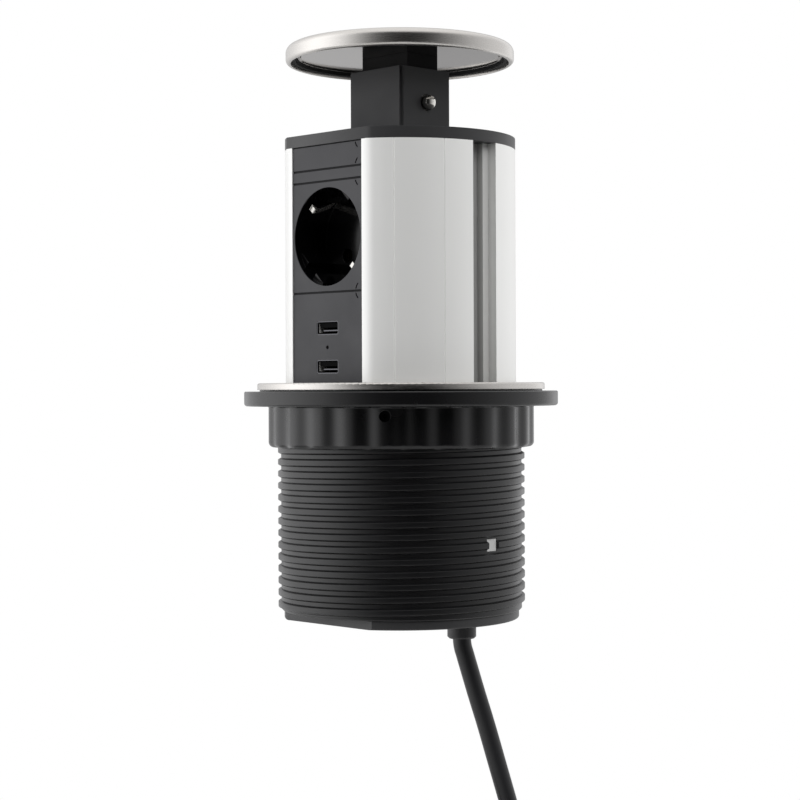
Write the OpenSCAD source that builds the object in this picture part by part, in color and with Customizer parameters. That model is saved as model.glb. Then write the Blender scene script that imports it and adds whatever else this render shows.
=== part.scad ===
// Built-in power tower: a round socket tower that slides up out of a threaded sleeve in a worktop.
// Millimetres, +Z up. The origin is on the sleeve's axis, in the worktop's top surface.
// The socket looks along -Y, and the release button and the latch are on the +X side.

/* [Worktop seat] */
// How far the sleeve's flange reaches past the bore, over the worktop
flange_reach = 10.8; // [7:0.1:20]
// Thickness of the sleeve's flange
flange_thick = 2.0; // [1.2:0.1:4]
// Plate thickness of the steel trim ring
ring_plate = 0.8; // [0.5:0.1:2]
// Width of the ring's skirt that goes down round the flange
ring_skirt = 0.8; // [0.5:0.1:2]
// Gap between the skirt and the flange
ring_gap = 0.2; // [0.05:0.05:0.5]

/* [Sleeve] */
// Gap between the tower and the sleeve's bore
bore_clear = 0.3; // [0.1:0.05:1]
// Bottom end of the sleeve below the worktop's top
sleeve_depth = 92.8; // [70:0.1:130]
// Wall of the sleeve under the outside thread
sleeve_wall = 1.85; // [1.4:0.05:4]
// Height of the thread's ridge
thread_height = 1.3; // [0.8:0.05:2.5]
// Rise of the thread in one turn
thread_pitch = 5; // [4:0.25:8]
// Width of the ridge at its crest
crest_width = 2.1; // [1:0.1:3]
// Slope of the ridge's flanks, as width gained per height
flank_slope = 0.577; // [0.3:0.01:1]
// Depth of the round pocket for the lid below the worktop's top
pocket_depth = 4.6; // [3:0.1:8]
// Height and width of the latch window, and the sideways place of its middle
window_height = 5.2; // [4:0.1:8]
window_width = 6.6; // [4:0.1:9]
window_centre = 1.6; // [-2:0.1:3]

/* [Clamping nut] */
// How far the nut's wide flange reaches past the sleeve's flange
nut_flange_reach = 6.55; // [2:0.05:20]
// Thickness of the nut's wide flange
nut_flange_thick = 6.2; // [3:0.1:10]
// Round on the flange's lower edge
nut_flange_round = 1.3; // [0.5:0.1:2.5]
// Wall of the fluted grip, measured from the sleeve's thread crests
grip_wall = 4.05; // [3.6:0.05:8]
// Height of the fluted grip
grip_height = 17.3; // [10:0.1:30]
// Round on the grip's lower edge
grip_round = 2.2; // [0.5:0.1:3]
// Number of flutes round the grip
flute_count = 24; // [12:1:36]
// Depth of each flute
flute_depth = 1.2; // [0.5:0.1:2]
// Radius of each flute's hollow
flute_radius = 13; // [8:0.5:20]
// Clearance between the crests and roots of the two threads
thread_clear = 0.5; // [0.3:0.05:1]
// Clearance beside the thread's flanks, along the axis
thread_side_clear = 0.3; // [0.2:0.05:0.5]
// Thickness of the slip washer
washer_thick = 0.7; // [0.4:0.1:2]
// Radius of the lock screw's hole in the grip
lock_hole_radius = 2.3; // [1.5:0.1:3]
// Height of the lock screw below the nut's top
lock_screw_drop = 9.9; // [8:0.1:14]

/* [Tower] */
// Outer radius of the tower's profile
tower_radius = 48.9; // [44:0.1:58]
// Wall of the profile
profile_wall = 2.0; // [1.2:0.1:3]
// Thickness of the lips that hold the panels
lip_thick = 1.3; // [0.8:0.1:2]
// Height of the profile's top above the worktop
profile_top = 101.05; // [80:0.05:140]
// Clearance between the sleeve's flat and the profile's front face
flat_clear = 0.35; // [0.3:0.05:0.6]
// Width of the groove in the side
groove_width = 13.7; // [10:0.1:18]
// Depth of the groove's first step
groove_depth = 4.9; // [3:0.1:7]
// Width of the inner slot
slot_width = 7.0; // [5.8:0.1:9]
// Depth of the inner slot below the first step
slot_depth = 3.2; // [2:0.1:5]
// Sideways place of the groove's middle
groove_centre = 1.1; // [-3:0.1:3]
// Wall round the groove
groove_wall = 2.0; // [1.2:0.1:3]
// Thickness of the top cap
cap_thick = 4.8; // [3:0.1:8]
// Thickness of the bottom cap's stop flange
stop_thick = 3.6; // [2:0.1:6]
// How far the bottom cap's stop flange reaches past the sleeve's bore
stop_reach = 0.6; // [0.4:0.1:5]
// Gap between the sleeve's end and the stop flange
stop_gap = 0.2; // [0.1:0.05:0.5]

/* [Panels] */
// Width of the modules behind the lips
module_width = 45; // [40:0.5:52]
// Room beside the modules in the profile, which sets how far out the flat front lies
module_room = 0.27; // [0.15:0.01:1]
// How far each lip covers the modules
lip_cover = 1.2; // [0.8:0.1:3]
// Gap between a panel's raised face and each lip
panel_gap = 0.15; // [0.1:0.05:0.4]
// How far the panels' faces lie behind the front
panel_recess = 0.4; // [0.1:0.1:1]
// Thickness of a panel behind its raised face
panel_thick = 1.5; // [1:0.1:3]
// Width and depth of the groove at the seam between two panels
seam_width = 0.9; // [0.4:0.1:2]
seam_depth = 0.35; // [0.2:0.05:0.6]
// Radius of the small arc groove about a panel's corner, and its width
arc_radius = 3.6; // [2.5:0.1:5]
arc_width = 0.6; // [0.4:0.1:1]
// Height of the blank panel under the top cap
upper_blank_height = 10.3; // [5:0.1:20]
// Height of the thin spacer strip
spacer_height = 5.0; // [3:0.1:10]
// How much taller than wide the socket module is
socket_frame = 0.7; // [0:0.1:10]
// Height of the charging module
charger_height = 45.0; // [36:0.1:60]

/* [Earthed socket] */
// Clearance round the glossy cup in its module, which leaves a recess of 40.5 for the plug
cup_clear = 0.3; // [0.2:0.05:1]
// Depth of the recess behind the panel's face
recess_depth = 17.5; // [14:0.1:18]
// Wall of the glossy cup
cup_wall = 0.75; // [0.5:0.05:0.85]
// Thickness of the cup's floor
cup_floor = 3.0; // [2:0.1:5]
// Distance between the two pin holes
pin_spacing = 19; // [18:0.5:20]
// Radius of the pin holes
pin_hole_radius = 3.0; // [2.5:0.05:3.2]
// Turn of the pin holes' line from level
socket_turn = 45; // [0:5:90]
// Width of each of the two guide ribs at either end of the pin line
rib_width = 6.2; // [4:0.1:6.4]
// Gap between the two guide ribs
rib_gap = 6.6; // [5:0.1:8]
// How far the guide ribs' flat faces stand in from the recess's wall
rib_height = 3.0; // [2.6:0.1:3.4]
// How far the earth clips stand in from the recess's wall
clip_stand = 3.75; // [2.6:0.05:4.5]
// Width of an earth clip
clip_width = 2.8; // [2.4:0.1:6]

/* [Charging ports] */
// Width of a port's shell
port_width = 13.3; // [11:0.1:16]
// Height of a port's shell
port_height = 5.7; // [4.8:0.1:8]
// Round at the port's corners
port_corner = 1.0; // [0.6:0.1:2]
// Wall of a port's shell
port_wall = 0.4; // [0.3:0.05:0.8]
// Depth of a port
port_depth = 14; // [10:0.5:18]
// Distance between the two ports' middles
port_spacing = 15.9; // [10:0.1:22]
// Height of the upper port above the charging module's lower edge
port_rise = 30.3; // [24:0.1:34]
// Radius of the indicator's hole
indicator_radius = 0.8; // [0.5:0.1:2]

/* [Neck and lid] */
// Width of the neck along X
neck_width = 32.3; // [26:0.1:36]
// Depth of the neck along Y
neck_depth = 29.3; // [24:0.1:34]
// Height of the neck
neck_height = 28.75; // [24:0.05:40]
// Wall of the neck
neck_wall = 1.6; // [1.2:0.1:2.5]
// Side of the square rebate along each corner of the neck
rebate = 1.2; // [0.5:0.1:2]
// Width of the stem along X
stem_width = 27.5; // [20:0.1:30]
// Depth of the stem along Y
stem_depth = 17.7; // [12:0.1:24]
// Gap between the neck's top and the lid's back plate
stem_height = 6.3; // [3:0.1:12]
// Gap between the lid and the sleeve's bore
lid_clear = 0.7; // [0.2:0.05:1]
// Height of the lid
lid_height = 7.5; // [5:0.1:12]
// Sheet thickness of the lid
lid_sheet = 1.2; // [0.8:0.1:2]
// Round on the lid's top edge
lid_round = 3.2; // [2:0.1:5]
// Round where the lid's edge curls inwards
lid_curl = 1.6; // [0.6:0.1:1.9]
// Width of the lid's curled lip
lid_lip = 2.1; // [2:0.1:5]
// Distance from the lid's edge to the back plate's edge
lid_edge = 4.1; // [3.2:0.05:10]
// Width of the rim and of the groove inside it on the back plate
rim_width = 1.2; // [0.8:0.1:3]
// Height of the back plate's face above the lid's lower edge
backplate_rise = 2.65; // [1.3:0.05:4]

/* [Release] */
// Radius of the release button
button_radius = 2.9; // [2:0.1:4]
// Height of the button above the top cap
button_rise = 14.5; // [12:0.1:20]
// How far the button stands out of the neck
button_proud = 4.0; // [2:0.1:5]
// Travel of the button, the push rod and the latch
release_travel = 3.0; // [1.5:0.1:3.5]
// Radius of the hole round the button
button_hole_radius = 3.5; // [3.1:0.1:4.1]
// Radius of the button's collar behind the wall
collar_radius = 4.2; // [3.7:0.1:5]
// Length of the collar
collar_length = 1.7; // [1:0.1:2.5]
// Running clearance round the collar
collar_clear = 0.05; // [0.02:0.01:0.1]
// Side of the square push rod
rod_side = 4.0; // [3:0.1:5]
// Distance of the push rod from the axis along X
rod_place = 6.0; // [4:0.1:8]
// Clearance round the push rod in its guides
rod_clear = 0.15; // [0.1:0.05:0.3]
// Gap between the sliding wedges
wedge_gap = 0.2; // [0.1:0.05:0.4]
// Side of the square latch bar
latch_side = 4.6; // [3.4:0.1:5]
// Height of the latch above the sleeve's lower end
latch_rise = 29.2; // [20:0.1:50]
// Sideways place of the latch
latch_centre = 0.6; // [-1:0.1:1.5]
// Gap between the latch's nose and the sleeve's bore
nose_gap = 0.6; // [0.4:0.05:1]
// Clearance round the latch bar in its guide
latch_clear = 0.1; // [0.05:0.05:0.3]
// Wire radius of the return spring
spring_wire = 0.45; // [0.3:0.05:0.6]
// Mean radius of the return spring
spring_radius = 4.2; // [3.8:0.1:5]
// Coils of the return spring
spring_coils = 4; // [3:1:5]
// Length of the return spring at rest
spring_length = 7.0; // [6:0.1:7.4]

/* [Mains lead] */
// Radius of the gland below the bottom cap
gland_radius = 6.15; // [5.5:0.05:9]
// Length of the gland below the bottom cap
gland_length = 9.2; // [6:0.1:20]
// Distance of the gland from the axis along X and along Y
gland_place = 18; // [14:0.5:24]
// Diameter of the mains lead
cord_diameter = 7.8; // [6:0.1:9]
// Clearance round the lead in the gland
cord_clear = 0.3; // [0.2:0.05:0.5]
// Radius of the coil's innermost turn
coil_inner = 32.5; // [30:0.5:40]
// Step between neighbouring turns and layers
coil_step = 8.4; // [8.3:0.1:10]
// Loops in the coil
coil_loops = 5; // [3:2:7]
// Width of the tie round the coil
tie_width = 14; // [8:0.5:20]
// Thickness of the tie
tie_thick = 1.2; // [0.8:0.1:2]

/* [Plug] */
// Radius of the plug's body
plug_radius = 18.4; // [17:0.1:19.5]
// Length of the plug's body
plug_length = 36; // [28:0.5:45]
// Length of the plug's bend relief
relief_length = 38; // [20:0.5:60]
// Thick end radius of the bend relief
relief_radius = 6.5; // [5:0.1:8]
// Radius of a plug pin
plug_pin_radius = 2.4; // [2:0.05:2.5]
// Length of a plug pin
plug_pin_length = 19; // [15:0.5:22]

/* [Hidden] */
// Smoothness of the exact round faces in the preview
$fn = 96;
// Overshoot of a cutter past the face that it opens
cut = 1;

// Colours, for the preview only
aluminium_colour = [0.80, 0.80, 0.79];
steel_colour = [0.78, 0.75, 0.72];
panel_colour = [0.27, 0.27, 0.28];
dark_colour = [0.20, 0.20, 0.21];
gloss_colour = [0.06, 0.06, 0.07];
brass_colour = [0.80, 0.65, 0.35];
pale_colour = [0.72, 0.70, 0.68];

// Radii, outwards from the tower
bore_radius = tower_radius + bore_clear;
root_radius = bore_radius + sleeve_wall;
flange_radius = bore_radius + flange_reach;
washer_radius = flange_radius;
nut_flange_radius = flange_radius + nut_flange_reach;
stop_radius = bore_radius + stop_reach;
lid_radius = bore_radius - lid_clear;
backplate_radius = lid_radius - lid_edge;
inner_radius = tower_radius - profile_wall;

// The flat front lies where the modules just fit between the profile's walls
module_half = (module_width / 2) + module_room;
front_exact = lip_thick + sqrt((inner_radius * inner_radius) - (module_half * module_half));
front_distance = round(front_exact * 20) / 20;
opening_width = module_width - (lip_cover * 2);
module_wall = 1.2;

// Thread, worked out from the sleeve's sizes
facets_per_turn = 48;
// Centre height of the thread's lowest ridge, and the direction in which it starts
thread_start_lift = 1.9;
thread_start_angle = 197.2;
thread_low = -sleeve_depth + thread_start_lift;
crest_radius = root_radius + thread_height;
grip_radius = crest_radius + grip_wall;
// Turns that fit between the start and the run-out hidden under the nut
thread_top_space = 5.5;
thread_turns = floor((-thread_low - thread_top_space) / thread_pitch);

// Nut and washer, from the worktop's top downwards
washer_bore = crest_radius + thread_clear;
nut_top = -washer_thick;
nut_shoulder = nut_top - nut_flange_thick;
nut_bottom = nut_shoulder - grip_height;
nut_thread_root = root_radius + thread_clear + 0.1;
nut_thread_crest = crest_radius + thread_clear;
lock_screw_angle = -50.6;
lock_screw_z = nut_top - lock_screw_drop;

// Tower heights
tower_bottom = -sleeve_depth + (stop_gap * 2);
stop_top = -sleeve_depth - stop_gap;
cap_top = profile_top + cap_thick;
neck_top = cap_top + neck_height;
backplate_z = neck_top + stem_height;
lid_bottom = backplate_z - backplate_rise;
lid_top = lid_bottom + lid_height;
front_y = -front_distance;
lip_back = front_y + lip_thick;
panel_face = front_y + panel_recess;
panel_back = lip_back + panel_thick;
upper_blank_z = profile_top - upper_blank_height;
spacer_z = upper_blank_z - spacer_height;
socket_height = module_width + socket_frame;
socket_z = spacer_z - socket_height;
charger_z = socket_z - charger_height;
socket_mid = socket_z + (socket_height / 2);

// Socket sizes, and its depths along Y
recess_radius = (module_width / 2) - module_wall - cup_wall - cup_clear;
clip_reach = recess_radius - clip_stand;
cup_front = panel_face + 0.4;
floor_front = panel_face + recess_depth;
floor_back = floor_front + cup_floor;
cup_radius = recess_radius + cup_wall;
// The rear cover ends clear of the push rod, and the contact tubes end inside it
rod_space = 5;
cover_wall = 1.5;
cover_back = -(rod_side / 2) - rod_space;
tube_space = 1.9;
tube_length = cover_back - cover_wall - floor_back - tube_space;

// Charging ports
upper_port_z = charger_z + port_rise;
lower_port_z = upper_port_z - port_spacing;
indicator_z = (upper_port_z + lower_port_z) / 2;
board_front = panel_face + port_depth;

// Release mechanism
button_z = cap_top + button_rise;
neck_face = neck_width / 2;
neck_inner = neck_face - neck_wall;
boss_length = release_travel + collar_length + 0.7;
collar_out = neck_inner - 0.1;
wedge_sum = rod_place + button_z + 1;
rod_left = rod_place - (rod_side / 2);
rod_right = rod_place + (rod_side / 2);
spring_top = cap_top + spring_length;
latch_z = -sleeve_depth + latch_rise;
latch_wedge_sum = rod_left + latch_z + 2.6;
nose_x = bore_radius - nose_gap;
groove_low = groove_centre - (groove_width / 2);
groove_high = groove_centre + (groove_width / 2);
slot_low = groove_centre - (slot_width / 2);
step_x = tower_radius - groove_depth;
slot_x = step_x - slot_depth;
channel_x = slot_x - groove_wall;

// Lead: the lead and its coil hang in one upright plane, turned from X by this angle
lead_turn = 46;
cord_radius = cord_diameter / 2;
lead_depth = 0.45;
// Route of the free stretch: how far it swings out from the gland, and its height over the tower's end
lead_shape = [[0, 10.4], [0, 2.4], [0, -5.6], [0, -11.6], [0.35, -16.6], [1.45, -20.6], [3.45, -27.6],
    [6.35, -37.6], [9.55, -48.1], [12.55, -58.6], [15.35, -68.6], [17.95, -77.8], [20.45, -87.1],
    [22.25, -96.6], [23.25, -106.6], [23.55, -116.6], [23.55, -127.6], [23.55, -139.8]];
gland_run = gland_place * (cos(lead_turn) + sin(lead_turn));
lead_route = [for (p = lead_shape) [gland_run + p[0], tower_bottom + p[1]]];
lead_end = lead_route[len(lead_route) - 1];
coil_outer = coil_inner + (coil_step * coil_loops / 2);
coil_x = lead_end[0] - coil_outer;
coil_z = lead_end[1] - cord_diameter;
rings_per_loop = 24;
coil_rings = coil_loops * rings_per_loop;
tail_depth = lead_depth + (2 * coil_step);
relief_top = coil_z - cord_diameter;
plug_top = relief_top - relief_length;
plug_face = plug_top - plug_length;

// Places in the lead's plane: along it, towards the viewer, height
function in_plane(p) = [
    (p[0] * cos(lead_turn)) + (p[1] * sin(lead_turn)),
    (p[0] * sin(lead_turn)) - (p[1] * cos(lead_turn)),
    p[2]];
function unit(v) = v / norm(v);
// 0 before low, 1 after high, and a smooth rise between them
function ease(t, low, high) =
    let (s = min(1, max(0, (t - low) / (high - low)))) s * s * (3 - (2 * s));

// The coil's middle line at t loops: the turns spiral in, climb a layer, and spiral out again
function coil_radius(t) = coil_inner + (coil_step * abs(t - (coil_loops / 2)));
function coil_layer(t) =
    lead_depth + (coil_step * ease(t, (coil_loops / 2) - 0.25, (coil_loops / 2) + 0.25))
    + (coil_step * ease(t, coil_loops - 0.25, coil_loops));
function coil_point(t) = in_plane([
    coil_x + (coil_radius(t) * cos(360 * t)),
    coil_layer(t),
    coil_z - (coil_radius(t) * sin(360 * t))]);
coil_line = concat(
    [in_plane([lead_end[0], lead_depth, lead_end[1]])],
    [for (i = [0 : coil_rings]) coil_point(i / rings_per_loop)],
    [in_plane([lead_end[0], tail_depth, relief_top])]);
lead_line = [for (p = lead_route) in_plane([p[0], lead_depth, p[1]])];

// Least gap between turns, measured on the rings' middles that lie half a loop or more apart
coil_gap = min([for (i = [1 : coil_rings]) for (j = [i + 12 : coil_rings])
    norm(coil_line[i] - coil_line[j])]) - cord_diameter;
// Closed tube of round section along a line, with the given sides
function ring_direction(line, i) =
    let (a = line[max(0, i - 1)], b = line[min(len(line) - 1, i + 1)]) unit(b - a);
module tube(line, radius, sides, side_axis) {
    rings = len(line);
    points = [for (i = [0 : rings - 1])
        let (d = ring_direction(line, i), u = unit(cross(d, side_axis)), v = cross(d, u))
        for (k = [0 : sides - 1])
            line[i] + (radius * ((cos(360 * k / sides) * u) + (sin(360 * k / sides) * v)))];
    walls = [for (i = [0 : rings - 2]) for (k = [0 : sides - 1])
        let (a = (i * sides) + k, b = (i * sides) + ((k + 1) % sides), c = a + sides, d = b + sides)
        each [[a, d, b], [a, c, d]]];
    first = [for (k = [1 : sides - 2]) [0, k, k + 1]];
    e = (rings - 1) * sides;
    last = [for (k = [1 : sides - 2]) [e, e + k + 1, e + k]];
    polyhedron(points = points, faces = concat(walls, first, last));
}

// Threaded rod as one closed body: the ridge, the root between its turns, and both end faces
module threaded_rod(root, crest, crest_half, low, turns, bottom, top) {
    n = facets_per_turn;
    steps = turns * n;
    root_half = crest_half + ((crest - root) * flank_slope);
    ridge = [for (i = [0 : steps])
        let (a = thread_start_angle + (360 * i / n), z = low + (thread_pitch * i / n))
        each [
            [root * cos(a), root * sin(a), z - root_half],
            [crest * cos(a), crest * sin(a), z - crest_half],
            [crest * cos(a), crest * sin(a), z + crest_half],
            [root * cos(a), root * sin(a), z + root_half]]];
    lower = [for (i = [0 : n - 1]) let (a = thread_start_angle + (360 * i / n))
        [root * cos(a), root * sin(a), bottom]];
    upper = [for (i = [0 : n - 1]) let (a = thread_start_angle + (360 * i / n))
        [root * cos(a), root * sin(a), top]];
    b = len(ridge);
    t = b + n;
    flanks = [for (i = [0 : steps - 1]) for (k = [0 : 2])
        let (p = (4 * i) + k) each [[p, p + 5, p + 4], [p, p + 1, p + 5]]];
    roots = [for (i = [0 : steps - n - 1])
        let (p = (4 * i) + 3, q = 4 * (i + n)) each [[p, q + 4, p + 4], [p, q, q + 4]]];
    low_strip = [for (i = [0 : n - 2])
        each [[b + i, (4 * i) + 4, b + i + 1], [b + i, 4 * i, (4 * i) + 4]]];
    low_wrap = [for (f = [[b, 0], [0, 3], [3, 4 * n], [4 * n, 4 * (n - 1)]])
        [b + n - 1, f[1], f[0]]];
    s = steps - n;
    high_strip = [for (i = [1 : n - 1])
        let (p = (4 * (s + i)) + 3, u = t + i, w = t + ((i + 1) % n))
        each [[p, w, p + 4], [p, u, w]]];
    high_wrap = [for (f = [[t, (4 * steps) + 3], [(4 * steps) + 3, 4 * steps],
        [4 * steps, (4 * s) + 3], [(4 * s) + 3, (4 * s) + 7]]) [t + 1, f[1], f[0]]];
    ends = [[0, 2, 1], [0, 3, 2], [(4 * steps), (4 * steps) + 1, (4 * steps) + 2],
        [(4 * steps), (4 * steps) + 2, (4 * steps) + 3]];
    caps = [[for (i = [0 : n - 1]) b + i], [for (i = [n - 1 : -1 : 0]) t + i]];
    polyhedron(points = concat(ridge, lower, upper),
        faces = concat(flanks, roots, low_strip, low_wrap, high_strip, high_wrap, ends, caps));
}

// Rounded pieces, turned
module disc(radius, low, high) {
    translate([0, 0, low]) cylinder(r = radius, h = high - low);
}

// Outline of a turned piece with a round of the given size on one outer edge
module turned_edge(radius, low, high, edge, at_top) {
    arc_z = at_top ? high - edge : low + edge;
    translate([0, at_top ? low : low + edge]) square([radius, high - low - edge]);
    translate([0, low]) square([radius - edge, high - low]);
    intersection() {
        translate([radius - edge, arc_z]) circle(r = edge);
        translate([0, low]) square([radius, high - low]);
    }
}

// D-shaped outline: a circle with a flat at the front
module d_outline(radius, flat) {
    intersection() {
        circle(r = radius);
        translate([-radius - cut, -flat]) square([(radius + cut) * 2, radius + flat + cut]);
    }
}

module d_disc(radius, flat, low, high) {
    translate([0, 0, low]) linear_extrude(high - low) d_outline(radius, flat);
}

// A box given by its middle and size across X and Y, and its lowest and highest point
module block(mid, size, low, high) {
    translate([mid[0] - (size[0] / 2), mid[1] - (size[1] / 2), low])
        cube([size[0], size[1], high - low]);
}

// A box at the front: its middle along X, its width, its range along Y and its range along Z
module slab(mid, width, front, back, low, high) {
    translate([mid - (width / 2), front, low]) cube([width, back - front, high - low]);
}

// A cylinder along Y, from front to back, on the axis at x and z
module along_y(x, z, radius, front, back) {
    translate([x, front, z]) rotate([-90, 0, 0]) cylinder(r = radius, h = back - front);
}

// A cylinder along X, from one place to another, on the axis at y and z
module along_x(y, z, radius, from, to) {
    translate([from, y, z]) rotate([0, 90, 0]) cylinder(r = radius, h = to - from);
}

// Threaded sleeve with its flange, lid pocket, D-shaped bore and latch window
module threaded_sleeve() {
    color(dark_colour)
    difference() {
        union() {
            threaded_rod(root_radius, crest_radius, crest_width / 2, thread_low, thread_turns,
                -sleeve_depth, flange_thick / 2);
            disc(flange_radius, 0, flange_thick);
        }
        d_disc(bore_radius, front_distance + flat_clear, -sleeve_depth - cut, -pocket_depth);
        disc(bore_radius, -pocket_depth, flange_thick + cut);
        translate([bore_radius - (cut * 2), window_centre - (window_width / 2), latch_z - (window_height / 2)])
            cube([thread_height + root_radius - bore_radius + (cut * 4), window_width, window_height]);
    }
}

// Steel ring: a flat plate on the flange with a skirt round it
module trim_ring() {
    ring_radius = flange_radius + ring_gap + ring_skirt;
    ring_top = flange_thick + ring_plate;
    color(steel_colour)
    rotate_extrude() difference() {
        turned_edge(ring_radius, 0, ring_top, ring_skirt, true);
        translate([0, -cut]) square([bore_radius + 0.1, ring_top + (cut * 2)]);
        translate([0, -cut]) square([flange_radius + ring_gap, flange_thick + cut]);
    }
}

module slip_washer() {
    color(dark_colour)
    difference() {
        disc(washer_radius, -washer_thick, 0);
        disc(washer_bore, -washer_thick - cut, cut);
    }
}

// Nut in one piece: a wide flange, a fluted grip, and a thread with room round the sleeve's
module flange_nut() {
    first_turn = floor((nut_bottom - thread_low) / thread_pitch) - 1;
    nut_low = thread_low + (first_turn * thread_pitch);
    nut_turns = ceil((nut_top - nut_low) / thread_pitch) + 1;
    color(dark_colour)
    difference() {
        union() {
            rotate_extrude() turned_edge(nut_flange_radius, nut_shoulder, nut_top, nut_flange_round, false);
            difference() {
                rotate_extrude() turned_edge(grip_radius, nut_bottom, nut_shoulder + 0.5, grip_round, false);
                for (i = [0 : flute_count - 1]) rotate(360 * (i + 0.5) / flute_count + lock_screw_angle)
                    translate([grip_radius + flute_radius - flute_depth, 0, nut_bottom - cut])
                        cylinder(r = flute_radius, h = grip_height + cut);
            }
        }
        threaded_rod(nut_thread_root, nut_thread_crest,
            (crest_width / 2) - (thread_clear * flank_slope) + thread_side_clear,
            nut_low, nut_turns, nut_low - thread_pitch, nut_low + (thread_pitch * (nut_turns + 1)));
        rotate(lock_screw_angle) along_x(0, lock_screw_z, lock_hole_radius, root_radius, grip_radius + cut);
    }
}

module nut_lock_screw() {
    screw_end = grip_radius - 1.2;
    socket_radius = 1.2;
    color(gloss_colour)
    rotate(lock_screw_angle) difference() {
        along_x(0, lock_screw_z, lock_hole_radius - 0.05, nut_thread_crest + 0.3, screw_end);
        translate([screw_end - 1.5, 0, lock_screw_z]) rotate([0, 90, 0])
            cylinder(r = socket_radius, h = 1.5 + cut, $fn = 6);
    }
}

// Profile: a D-shaped tube, open at the front between two lips, with a stepped groove in its side
module tower_profile() {
    line_depth = 0.3;
    line_angles = [-47, -22.6];
    color(aluminium_colour)
    difference() {
        translate([0, 0, tower_bottom]) linear_extrude(profile_top - tower_bottom)
        difference() {
            d_outline(tower_radius, front_distance);
            difference() {
                d_outline(inner_radius, front_distance - lip_thick);
                translate([channel_x, groove_low - groove_wall])
                    square([tower_radius, groove_width + (groove_wall * 2)]);
            }
            translate([-opening_width / 2, front_y - cut])
                square([opening_width, lip_thick + (cut * 2)]);
            translate([step_x, groove_low]) square([groove_depth + cut, groove_width]);
            translate([slot_x, slot_low]) square([slot_depth + cut, slot_width]);
            for (a = line_angles) rotate(a) translate([tower_radius, 0]) circle(r = line_depth, $fn = 4);
        }
        translate([channel_x - cut, latch_centre - (latch_side / 2) - latch_clear,
            latch_z - (latch_side / 2) - latch_clear])
            cube([groove_wall + (cut * 2), latch_side + (latch_clear * 2), latch_side + (latch_clear * 2)]);
    }
}

// Countersunk cap screws, as places round the top cap
cap_screw_x = inner_radius - 13.9;
cap_screw_places = [for (x = [-cap_screw_x, cap_screw_x]) for (y = [-18, 22]) [x, y]];
module cap_screw_shape(grow) {
    head_radius = 3.4 + grow;
    shank_radius = 1.7 + grow;
    for (p = cap_screw_places) translate([p[0], p[1], 0]) {
        translate([0, 0, cap_top - 0.4 - 1.9]) cylinder(r1 = shank_radius, r2 = head_radius, h = 1.9 + grow);
        disc(shank_radius, cap_top - cap_thick - 5, cap_top - 2.2);
    }
}

// Top cap with the push rod's hole, bosses for its screws and a spigot inside the profile
module top_cap() {
    hole_side = rod_side + (rod_clear * 2);
    color(panel_colour)
    difference() {
        union() {
            d_disc(tower_radius, front_distance, profile_top, cap_top);
            for (p = cap_screw_places) translate([p[0], p[1], 0])
                disc(4.5, profile_top - 6, profile_top + 0.5);
        }
        cap_screw_shape(0);
        for (p = cap_screw_places) translate([p[0], p[1], 0]) disc(3.4, cap_top - 0.4, cap_top + cut);
        block([rod_place, 0], [hole_side, hole_side], profile_top - cut, cap_top + cut);
    }
}

module cap_screws() {
    color(steel_colour)
    difference() {
        cap_screw_shape(0);
        for (p = cap_screw_places) translate([p[0], p[1], cap_top - 1.6])
            cylinder(r = 1.2, h = 3, $fn = 6);
    }
}

// Bottom cap: the stop flange under the sleeve, a seat for the profile and posts for the terminals
terminal_low = tower_bottom + 10.4;
terminal_high = terminal_low + 18;
terminal_mid = [gland_place, gland_place];
terminal_size = [27, 15];
module bottom_cap() {
    shank_hole = gland_radius - 1.05;
    post_width = 3;
    post_shift = (terminal_size[0] - post_width) / 2;
    color(dark_colour)
    difference() {
        union() {
            rotate_extrude() turned_edge(stop_radius, stop_top - stop_thick, stop_top, 0.8, false);
            d_disc(tower_radius, front_distance, stop_top - 0.4, tower_bottom);
            for (side = [-1, 1]) block([terminal_mid[0] + (side * post_shift), terminal_mid[1]],
                [post_width, terminal_size[1]], tower_bottom - 0.2, terminal_low);
        }
        translate([gland_place, gland_place, stop_top - stop_thick - cut])
            cylinder(r = shank_hole, h = stop_thick + (cut * 3));
        translate([-stop_radius - cut, -stop_radius - cut, stop_top - stop_thick - cut])
            cube([(stop_radius + cut) * 2, stop_radius + cut - front_distance, stop_thick + (cut * 3)]);
    }
}

module terminal_block() {
    screw_radius = 2;
    color(pale_colour)
    difference() {
        block(terminal_mid, terminal_size, terminal_low, terminal_high);
        for (i = [-1 : 1]) translate([terminal_mid[0] + (i * 8), terminal_mid[1], terminal_high - 5])
            cylinder(r = screw_radius, h = 5 + cut);
    }
}

// Panel: a raised face between the lips, a shallow step at each seam, and wings behind the lips
face_width = opening_width - (panel_gap * 2);
module panel(low, high) {
    color(panel_colour) {
        slab(0, face_width, panel_face, panel_face + seam_depth + 0.2, low + (seam_width / 2), high - (seam_width / 2));
        slab(0, face_width, panel_face + seam_depth, lip_back + 0.2, low, high);
        slab(0, module_width, lip_back, panel_back, low, high);
    }
}

// Arc groove about a panel's right corner at the height z, for lifting the panel out; up is 1 at its lower corner
arc_angles = [130, 139.5, 149, 158.5, 168];
arc_outline = concat([for (a = arc_angles) (arc_radius + arc_width) * [cos(a), sin(a)]],
    [for (i = [4 : -1 : 0]) arc_radius * [cos(arc_angles[i]), sin(arc_angles[i])]]);
module corner_arc(z, up) {
    translate([face_width / 2, panel_face - cut, z]) rotate([90, 0, 0]) mirror([0, 0, 1])
        linear_extrude(cut + arc_width) polygon([for (p = arc_outline) [p[0], up * p[1]]]);
}

module upper_blank() {
    color(panel_colour)
    difference() {
        union() panel(upper_blank_z, profile_top);
        corner_arc(upper_blank_z, 1);
        corner_arc(profile_top, -1);
    }
}

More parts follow.
